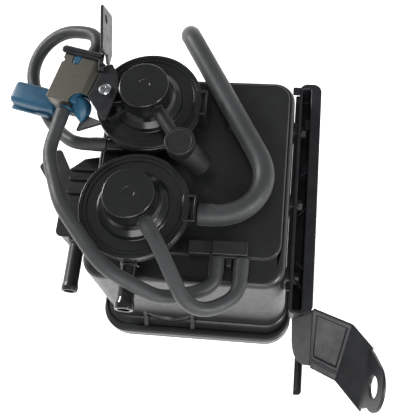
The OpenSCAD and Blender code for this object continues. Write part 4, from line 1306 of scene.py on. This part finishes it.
@dataclass
class SolenoidBracket:
    """The solenoid's pressed bracket: a screwed plate, a gusset, a bar over the yoke and a hole tab."""

    solenoid: Solenoid
    sheet: float = 2.0
    level: float = 149.4
    screw_x: float = -60.5
    screw_y: float = 45.0
    screw_r: float = 2.7
    tab_x: float = -67.0
    tab_hole: float = 3.0
    tab_turn: float = 7.4
    hole_back: float = 50.0
    hole_up: float = 13.0

    def seat(self) -> list[Patch]:
        """The plate under the screw and the gusset that falls away from its front corner.

        Returns:
            The plate and the gusset.
        """
        x, y, low, high = self.screw_x, self.screw_y, self.level, self.level + self.sheet
        outline = eased([
            (-63.0, 65.4, 0.8), (-72.3, 40.0, 1.2), (-57.7, 20.2, 1.6), (x + 9.0, y + 1.0, 3.0),
            (x + 6.6, y + 13.0, 2.0), (-58.8, 66.2, 0.8)], closed=True)
        gusset = spanned([(-58.4, 20.8, high - 0.6), (-78.2, 34.0, 137.0), (-81.6, 20.6, 137.0)], self.sheet,
                         0.5)
        return [plate(outline, low, high, 0.45, [circle(x, y, self.screw_r)]), gusset]

    def bar(self) -> list[Patch]:
        """The bar across the yoke's back, with a pressed bead along it, and the web and post that carry it.

        Returns:
            The bar, the bead, the web and the post.
        """
        s = self.solenoid
        low = s.top + s.sheet
        bar = eased([(-16.6, 17.2, 2.6), (14.6, 17.0, 2.4), (14.6, 22.8, 2.0), (-16.6, 23.0, 2.8)],
                    closed=True)
        bead = rod(np.array([-14.4, 20.6, low + 2.2]), np.array([13.4, 20.4, low + 2.2]), 1.5)
        web = eased([(-67.7, 61.6, 0.5), (-62.6, 63.6, 1.5), (-65.2, 66.0, 1.0), (-65.2, 73.6, 0.5),
                     (-69.5, 71.6, 0.5), (-68.4, 67.6, 0.5)], closed=True)
        up = s.z + low
        return [plate(bar, low, low + self.sheet, 0.9).placed(s.place()), bead.placed(s.place()),
                plate(web, up, up + self.sheet, 0.5),
                rounded_box((-67.7, 59.6, self.level), (-63.7, 64.6, up + self.sheet), 0.8, 0.5)]

    def tab(self) -> Patch:
        """The upright tab with its hole.

        Returns:
            The tab.
        """
        outline = eased([(-16.0, -8.0, 2.0), (17.0, -6.0, 2.0), (5.4, 22.8, 3.0), (-31.5, 20.6, 3.0),
                         (-28.0, 11.5, 1.0), (-24.5, 6.0, 1.5), (-29.5, 2.0, 0.5), (-28.0, -1.0, 0.5)],
                         closed=True)
        half = self.sheet / 2
        upright = plate(outline, -half, half, 0.5, [circle(0.0, self.hole_up, self.tab_hole)]).placed(YZX)
        return upright.placed(
            shift(self.tab_x + half, self.screw_y + self.hole_back, self.level, self.tab_turn))

    def build(self) -> None:
        """Builds the bracket."""
        piece("solenoid_bracket", joined([*self.seat(), *self.bar(), self.tab()]), Finish.PAINT)


@dataclass
class SideBracket:
    """The pressed side bracket: a flanged trough, a tail below it, and an arm folded twice up to its lug."""

    sheet: float = 2.3
    left: float = 71.5
    right: float = 82.0
    flange: float = 5.5
    front: float = -88.0
    back: float = 84.0
    low: float = 80.0
    top: float = 102.0
    corner: float = 4.0
    root: Triple = (84.0, -86.0, 101.0)
    slope: float = 30.0
    hinge: Pair = (29.0, -9.9)
    lean: float = -12.33
    fold: float = 35.0
    lug_hinge: Pair = (18.0, -5.5)
    lug_lean: float = 7.04
    lug_fold: float = 42.0
    lug_hole: Pair = (16.8, -19.6)
    hole_r: float = 7.0
    lug_r: float = 15.5
    brace_x: float = 4.0
    brace_fold: float = 56.5
    dent: float = 1.0
    dent_along: Triple = (0.07, 0.97, 0.05)
    dent_across: Triple = (0.05, 0.81, 0.035)
    ridge: Triple = (0.88, 0.02, 0.45)
    fold_r: float = 4.0
    tail_x: float = 78.0
    tail_low: float = 60.0
    tail_front: float = -135.5

    def arm_place(self) -> np.ndarray:
        """Placement of the arm's first panel."""
        return shift(*self.root) @ turned(0, self.slope)

    def wing_place(self) -> np.ndarray:
        """Placement of the arm's second panel, folded up about its hinge."""
        return self.arm_place() @ shift(*self.hinge, 0.0, self.lean) @ turned(1, -self.fold)

    def lug_place(self) -> np.ndarray:
        """Placement of the lug, folded up again."""
        return self.wing_place() @ shift(*self.lug_hinge, 0.0, self.lug_lean) @ turned(1, -self.lug_fold)

    def rail(self) -> list[Patch]:
        """The trough: loops up its outside, over the flange and down its inside; and its braces.

        Returns:
            The trough, its back tab and the braces in it.
        """
        t = self.sheet
        line = eased([
            (-3.4, self.low, 0), (0.0, self.low, 2.4), (0.0, self.top - t, 1.0),
            (self.flange, self.top - t, 0.5), (self.flange, self.top, 0.9), (-t, self.top, 1.2),
            (-t, self.low + t, 0.8), (-3.4, self.low + t, 0)])
        q, z = line.T
        out, into = np.maximum(q, 0), np.minimum(q, 0)
        loops = rounded_loops(self.left - into, self.right + q, self.front - into,
                              self.back + out * 0.36 + into, np.maximum(self.corner + into + out * 0.36, 0.5),
                              z)
        braces = [
            [(74.0, 12.6, 95.0), (79.6, 15.4, 98.5), (80.0, 25.0, 98.5), (74.0, 18.8, 95.0)],
            [(76.4, 50.0, 97.5), (79.9, 50.0, 98.5), (79.9, 58.0, 98.5), (76.4, 58.0, 97.5)],
            [(74.0, -17.6, 94.0), (79.9, -12.2, 97.0), (79.9, -10.6, 97.0), (74.0, -15.8, 94.0)],
            [(74.0, -52.0, 96.0), (79.9, -57.0, 97.0), (79.9, -54.6, 97.0), (74.0, -49.8, 96.0)],
            [(74.0, -64.4, 95.0), (79.9, -71.2, 97.0), (79.9, -69.0, 97.0), (74.0, -62.4, 95.0)]]
        left, back, top = self.left, self.back, self.top
        return [lattice(loops, capped=True),
                rounded_box((left - 5, back - 7, top - t), (left + 1, back - 1, top), 1, 0.5),
                rounded_box((left - 2.7, -72.0, top - t - 4), (left + 1, 78.0, top - 4), 1, 0.5),
                *[spanned(b, 1.2, 0.25) for b in braces]]

    def tail(self) -> list[Patch]:
        """The tail: an upright strip under the trough with a floor, and two ridges along that floor.

        Returns:
            The strip, the floor and the ridges.
        """
        x, z, y0, y1 = self.tail_x, self.tail_low, self.tail_front, -66.0
        web = eased([(y0 + 3, z, 0.5), (y1, z, 0.5), (y1, self.low + 1.1, 0.5), (-98.0, self.low + 1.1, 6.0),
                     (-112.0, z + 6.0, 8.0), (y0 + 3, z + 3.0, 1.0)], closed=True)
        floor = eased([(x, y0, 0.6), (x + 5.5, y0, 2.6), (x + 5.5, y1, 0.5), (x, y1, 0.5)], closed=True)
        ridges = [rod(np.array([x + d, y0 + 5.0, z + self.sheet]), np.array([x + d, y1, z + self.sheet]), 0.6)
                  for d in (2.9, 4.7)]
        return [plate(web, x, x + self.sheet, 0.5).placed(YZX), plate(floor, z, z + self.sheet, 0.5), *ridges]

    def across(self, place: np.ndarray, high: Pair, low: Pair) -> np.ndarray:
        """A straight line across the arm, in the middle of its sheet.

        Args:
            place: placement of the panel that it lies in.
            high: its upper end in that panel.
            low: its lower end.

        Returns:
            Points along the line.
        """
        mid = self.sheet / 2
        ends = moved(np.array([(*high, mid), (*low, mid)]), place)
        t = np.linspace(0, 1, 73)[:, None]
        return ends[0] * (1 - t) + ends[1] * t

    def strip(self) -> Patch:
        """The arm's two panels: straight lines across the arm that turn on an arc at the fold.

        The first panel is pressed in by a smooth step from each border, with a low ridge below the dent.
        The under side is the same surface moved by the sheet's thickness, and half circles join the two
        along both edges.

        Returns:
            The closed strip.
        """
        arm, mid, radius = self.arm_place(), self.sheet / 2, self.fold_r
        first = self.across(arm, (self.brace_x, 1.6), (self.brace_x, -37.2))
        corner = self.across(arm, (29.6, -7.3), (21.3, -44.9))
        last = self.across(self.wing_place(), (19.0, -5.6), (23.4, -46.2))
        d, e = unit(corner - first), unit(last - corner)
        bent = (d * e).sum(1, keepdims=True)
        turn, side = np.arccos(np.clip(bent, -1, 1)), unit(e - bent * d)
        start, end = corner - d * radius * np.tan(turn / 2), corner + e * radius * np.tan(turn / 2)
        panel = [first + (start - first) * u for u in np.linspace(0, 1, 60)]
        bend = [start + radius * (side * (1 - np.cos(turn * u)) + d * np.sin(turn * u))
                for u in np.linspace(0, 1, 9)[1:]]
        rest = [end + (last - end) * u for u in np.linspace(0, 1, 24)[1:]]
        grid = np.stack(panel + bend + rest)
        along = np.gradient(grid, axis=1)
        normal = unit(np.cross(along, np.gradient(grid, axis=0)))
        along = unit(along)
        u = np.concatenate([np.linspace(0, 1, len(panel)), np.full(len(bend) + len(rest), 2.0)])[:, None]
        v = np.linspace(0, 1, grid.shape[1])[None, :]
        (u0, u1, du), (v0, v1, dv) = self.dent_along, self.dent_across
        dent = (soft_step((u - u0) / du) * soft_step((u1 - u) / du)
                * soft_step((v - v0) / dv) * soft_step((v1 - v) / dv))
        at, wide, high = self.ridge
        ridge = np.where(u <= 1, np.exp(-((v - at) / wide) ** 2), 0.0)
        grid = grid + normal * (high * ridge - self.dent * dent)[..., None]
        half = np.linspace(np.pi / 2, -np.pi / 2, 7)[1:-1]
        low_edge = [grid[:, -1] + mid * (normal[:, -1] * np.sin(a) + along[:, -1] * np.cos(a)) for a in half]
        high_edge = [grid[:, 0] + mid * (normal[:, 0] * np.sin(a) - along[:, 0] * np.cos(a))
                     for a in half[::-1]]
        ring = np.concatenate([grid + mid * normal, np.stack(low_edge, 1), (grid - mid * normal)[:, ::-1],
                               np.stack(high_edge, 1)], 1)
        return lattice(ring, capped=True)

    def lug(self) -> list[Patch]:
        """The lug with its bolt hole, and the round bend at its fold.

        Returns:
            The lug and the bend.
        """
        cx, cy = self.lug_hole
        t = np.radians(np.linspace(-104, 78, 48))
        arc = np.stack([cx + self.lug_r * np.cos(t), cy + self.lug_r * np.sin(t)], 1)
        outline = np.vstack([[[0.0, 0.0], [0.0, -40.6], [5.0, -38.4]], arc, [[7.2, -1.0]]])
        place, mid = self.lug_place(), self.sheet / 2
        ends = moved(np.array([(0.0, -0.6, mid), (0.0, -40.2, mid)]), place)
        return [plate(outline, 0.0, self.sheet, 0.5, [circle(cx, cy, self.hole_r, 48)]).placed(place),
                rod(ends[0], ends[1], mid)]

    def brace(self) -> list[Patch]:
        """The web folded down from the arm's inner edge, and the rolled ridge along that edge.

        Returns:
            The web and the ridge.
        """
        mid = self.sheet / 2
        place = self.arm_place() @ shift(self.brace_x, 0.0, mid) @ turned(1, 180 - self.brace_fold)
        web = eased([(0, 1.5, 0.3), (0, -36.8, 0.3), (8, -39, 4), (15, -38.2, 5), (18.7, -35.6, 3),
                     (21, -31.5, 3), (22.1, -26.8, 3), (23.6, -9, 0.5)], closed=True)
        ends = moved(np.array([(self.brace_x, 1.4, mid), (self.brace_x, -36.7, mid)]), self.arm_place())
        return [plate(web, -mid, mid, 0.5).placed(place), rod(ends[0], ends[1], mid + 0.2)]

    def build(self) -> None:
        """Builds the whole bracket."""
        parts = [*self.rail(), *self.tail(), self.strip(), *self.lug(), *self.brace()]
        piece("side_bracket", joined(parts), Finish.PAINT)


# Springs and diaphragms of the moving pieces


@dataclass
class CoilSpring:
    """A round-wire spring between a moving seat and a fixed one."""

    node: str
    moving: Triple
    fixed: Triple
    radius: float
    wire: float
    turns: int
    joint: str
    travel: float
    steps: int = 24
    sides: int = 10

    def build(self) -> None:
        """Carries a circle along a helix, whose angle and height both grow evenly along the wire."""
        low, high = np.array(self.moving, float), np.array(self.fixed, float)
        length = float(np.linalg.norm(high - low))
        t = np.linspace(0, 1, self.turns * self.steps + 1)
        a, rise = 2 * np.pi * self.turns * t, (length - 2 * self.wire) / (2 * np.pi * self.turns)
        line = np.stack([self.radius * np.cos(a), self.radius * np.sin(a), self.wire + rise * a], 1)
        out = np.stack([np.cos(a), np.sin(a), np.zeros_like(a)], 1)
        way = unit(np.stack([-self.radius * np.sin(a), self.radius * np.cos(a), np.full_like(a, rise)], 1))
        up = np.cross(way, out)
        b = np.linspace(0, 2 * np.pi, self.sides, endpoint=False)[None, :, None]
        grid = line[:, None] + self.wire * (out[:, None] * np.cos(b) + up[:, None] * np.sin(b))
        made = piece(self.node, lattice(grid, capped=True).placed(frame_at(low, high - low)), Finish.STEEL,
                     smooth=50.0)
        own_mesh(made)


@dataclass
class Diaphragm:
    """A valve's rubber diaphragm: a rim up to the fold's crest, and a middle from the axis up to it."""

    valve: Valve
    flat: Pair = (17.0, 11.6)
    thick: float = 1.0
    crest: Triple = (22.5, 15.3, 16.4)
    rim: Triple = (32.9, 14.4, 15.4)
    rim_in: Pair = (25.0, 25.2)
    root: Pair = (19.5, 14.6)
    root_over: Pair = (18.95, 15.7)
    flat_over: float = 16.45

    def build(self) -> None:
        """Turns two profiles: the rim, and the middle one up to the fold's crest."""
        here = shift(self.valve.x, self.valve.y, self.valve.deck)
        node, (r, z), (top_r, under, top), (edge, low, high) = (
            f"valve_{self.valve.number}_diaphragm", self.flat, self.crest, self.rim)
        upper = z + self.thick
        rim = np.array([(top_r, under), (self.rim_in[0], low), (edge, low), (edge, high),
                        (self.rim_in[1], high), (top_r, top)])
        piece(node, lathe(rim, loop=True).placed(here), Finish.CAP, part="rim_skin")
        middle = np.array([(0, z), (r, z), self.root, (top_r, under), (top_r, top), self.root_over,
                           (self.flat_over, upper), (0, upper)])
        made = piece(node, lathe(middle).placed(here), Finish.CAP)
        tuple(c * MM for c in self.valve.around(0.0, 0.0, top))
        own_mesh(made)


def springs(valves: tuple[Valve, ...], solenoid: Solenoid) -> list[CoilSpring]:
    """The springs of the moving pieces.

    Args:
        valves: the two valves.
        solenoid: the solenoid valve.

    Returns:
        The springs.
    """
    made = [CoilSpring(f"valve_{v.number}_spring", (v.x, v.y, v.deck + 14.3), (v.x, v.y, v.deck + 37.9),
                       radius=11.0, wire=0.7, turns=6, joint=f"valve_{v.number}_lift", travel=v.lift)
            for v in valves]
    made.append(CoilSpring("plunger_spring", solenoid.point(0, -5.95, 0), solenoid.point(0, 1.95, 0),
                           radius=2.3, wire=0.35, turns=5, joint="plunger_slide", travel=1.5))
    return made


# Scene


@dataclass(frozen=True)
class Lamp:
    """A soft square lamp."""

    name: str
    at: Triple
    size: float
    watts: float

    def build(self, aim: Triple) -> None:
        """Adds the lamp.

        Args:
            aim: the point that it faces.
        """
        data = bpy.data.lights.new(self.name, "AREA")
        data.energy, data.size = self.watts, self.size * MM
        made = bpy.data.objects.new(self.name, data)
        made.location = Vector(self.at) * MM
        made.rotation_euler = (Vector(self.at) - Vector(aim)).to_track_quat("Z", "Y").to_euler()
        bpy.context.scene.collection.objects.link(made)


@dataclass
class Studio:
    """A camera at the picture's angle, a pale floor with far walls, and soft lamps in a dim surround."""

    eye: Triple = (68.5, -193.5, 554.0)
    right: Triple = (0.9916305, 0.09464673, -0.08781196)
    up: Triple = (-0.05598251, 0.92808662, 0.36813201)
    back: Triple = (0.1163396, -0.360135, 0.92561757)
    focal: float = 60.014
    sensor: float = 36.0
    near: float = 10.0
    far: float = 40000.0
    floor: float = 12000.0
    wall: float = 4500.0
    glow: float = 0.8
    sky: float = 0.28
    middle: Triple = (0.0, 0.0, 90.0)
    lamps: tuple[Lamp, ...] = (
        Lamp("front_lamp", (150.0, -1400.0, 1250.0), 1000.0, 17.0),
        Lamp("left_lamp", (-1000.0, 500.0, 700.0), 300.0, 13.0),
        Lamp("right_lamp", (900.0, -500.0, 700.0), 300.0, 9.0))

    def camera(self) -> None:
        """Makes the camera: its axes are the columns of its matrix."""
        data = bpy.data.cameras.new("camera")
        data.lens, data.sensor_width = self.focal, self.sensor
        data.clip_start, data.clip_end = self.near * MM, self.far * MM
        made = bpy.data.objects.new("camera", data)
        bpy.context.scene.collection.objects.link(made)
        made.matrix_world = Matrix([
            [self.right[i], self.up[i], self.back[i], self.eye[i] * MM] for i in range(3)] + [[0, 0, 0, 1]])
        bpy.context.scene.camera = made

    def ground(self) -> None:
        """Makes the floor and far walls: white to the eye and in reflections, with the object's shadow."""
        half, tall = self.floor * MM, self.wall * MM
        mesh = bpy.data.meshes.new("floor")
        ring = [(-half, -half), (half, -half), (half, half), (-half, half)]
        mesh.from_pydata([(*at, z) for z in (0.0, tall) for at in ring], [],
                         [(0, 1, 2, 3), *((i, i + 4, (i + 1) % 4 + 4, (i + 1) % 4) for i in range(4))])
        made = bpy.data.materials.new("pale_floor")
        made.use_nodes = True
        tree = made.node_tree
        tree.nodes.clear()
        path = add(tree, "ShaderNodeLightPath")
        seen = path.outputs["Is Camera Ray"]
        for ray in ("Is Glossy Ray", "Is Transmission Ray"):
            seen = add(tree, "ShaderNodeMath", {0: seen, 1: path.outputs[ray]},
                       operation="MAXIMUM").outputs["Value"]
        paint = add(tree, "ShaderNodeBsdfDiffuse", {"Color": linear("#eeeeee")})
        glow = add(tree, "ShaderNodeEmission", {"Color": linear("#ffffff"), "Strength": self.glow})
        both = add(tree, "ShaderNodeAddShader", {0: paint.outputs["BSDF"], 1: glow.outputs["Emission"]})
        mix = add(tree, "ShaderNodeMixShader", {0: seen, 1: paint.outputs["BSDF"], 2: both.outputs["Shader"]})
        add(tree, "ShaderNodeOutputMaterial", {"Surface": mix.outputs["Shader"]})
        mesh.materials.append(made)
        floor = bpy.data.objects.new("floor", mesh)
        bpy.context.scene.collection.objects.link(floor)

    def light(self) -> None:
        """Sets one broad front lamp, two small lamps that draw the edges, and a dim, even surround."""
        world = bpy.data.worlds.new("surround")
        world.use_nodes = True
        tree = world.node_tree
        tree.nodes.clear()
        sky = add(tree, "ShaderNodeBackground", {"Color": linear("#ffffff"), "Strength": self.sky})
        add(tree, "ShaderNodeOutputWorld", {"Surface": sky.outputs["Background"]})
        bpy.context.scene.world = world
        for lamp in self.lamps:
            lamp.build(self.middle)

    def build(self) -> None:
        """Builds the whole set."""
        bpy.context.scene.view_settings.view_transform = "Standard"
        self.camera()
        self.ground()
        self.light()


# Solids that keep their own shape


@dataclass(frozen=True)
class Kept:
    """Solids shown as they are, with eased edges and a finish."""

    kind: Finish
    nodes: tuple[str, ...]
    ease: float = 0.0
    weld: float = 0.02
    angle: float = 35.0

    def dress(self, solids: dict[str, bpy.types.Object]) -> None:
        """Gives each solid its finish, and eased edges where it has any.

        Args:
            solids: the part's solids by name.
        """
        for name in self.nodes:
            solid = solids[name]
            solid.data.materials.clear()
            solid.data.materials.append(finish_of(self.kind))
            if self.ease <= 0:
                continue
            weld = solid.modifiers.new("weld", "WELD")
            weld.merge_threshold = self.weld * MM
            bevel = solid.modifiers.new("ease", "BEVEL")
            bevel.width, bevel.segments, bevel.limit_method = self.ease * MM, 2, "ANGLE"
            bevel.angle_limit = np.radians(self.angle)
            bevel.harden_normals = False


KEPT = (
    Kept(Finish.PAINT, ("bracket_bolts",), 0.3),
    Kept(Finish.SCREW, ("bracket_screw",), 0.2),
    Kept(Finish.STEEL,
         ("valve_1_plate", "valve_2_plate", "bed_springs", "solenoid_core", "solenoid_plunger")),
    Kept(Finish.BRASS, ("connector_terminals",)),
    Kept(Finish.COPPER, ("solenoid_coil",)),
    Kept(Finish.RETAINER, ("retainer_tank", "retainer_air")),
    Kept(Finish.CARBON, ("carbon_bed_tank", "carbon_bed_air")),
    Kept(Finish.FOAM, ("upper_filter_tank", "upper_filter_air", "lower_filter_tank", "lower_filter_air")),
)


def hoses(valve: Valve, solenoid: Solenoid) -> list[Hose]:
    """The four hoses, each from the piece that it is pushed on.

    Args:
        valve: the front valve.
        solenoid: the solenoid valve.

    Returns:
        The hoses.
    """
    on, off, turn, lift = solenoid.point, valve.around, valve.nipple_turn, valve.nipple_z
    return [
        Hose("hose_main", [
            (8.9, -33.0, 129.0), (72.6, -33.0, 129.0), (-10.1, 106.9, 129.0), (-14.1, 121.7, 108.0)],
             [29, 14], 7.5, 4.55),
        Hose("hose_bypass", [
            on(0, 20.4, 0), on(0, 47, 0), (-103.9, 107.5, 130.0), (-142.8, 91.4, 118.0),
            (-107.6, 35.5, 116.5), (-85.7, 16.5, 125.5), (-60.9, 16.5, 125.5)],
             [12, 24, 30, 24, 14], 5.0, 3.05),
        Hose("hose_solenoid", [
            on(-2.8, -20.3, 2), on(-0.2, -54.4, 2), (-79.9, -38.0, 146.0), (-45.8, -78.3, 146.0),
            (-9.6, -91.7, 128.0), (23.6, -81.5, 124.0), (23.6, -60.4, 124.0)],
             [24, 34, 34, 20, 10], 5.0, 3.05),
        Hose("hose_valve", [
            off(17.9, turn, lift), off(36.5, turn, lift), (12.3, -104.1, 136.0), (39.7, -85.8, 124.0),
            (39.7, -60.4, 124.0)], [34, 17, 14], 5.0, 3.05)]


def main() -> None:
    """Builds the set, dresses the solids and adds the pieces, in order."""
    logging.basicConfig(level=logging.INFO, format="%(message)s")
    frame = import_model()
    Studio().build()
    for group in KEPT:
        group.dress(frame["nodes"])
    Box().build()
    first, second, solenoid = Valve(1, -32.5, -33.0), Valve(2, -32.5, 45.0), Solenoid()
    first.build()
    second.build()
    VentCap(second).build()
    solenoid.build()
    SolenoidBracket(solenoid).build()
    SideBracket().build()
    for made in [*hoses(first, solenoid), *springs((first, second), solenoid), Diaphragm(first),
                 Diaphragm(second)]:
        made.build()


if __name__ == "__main__":
    main()
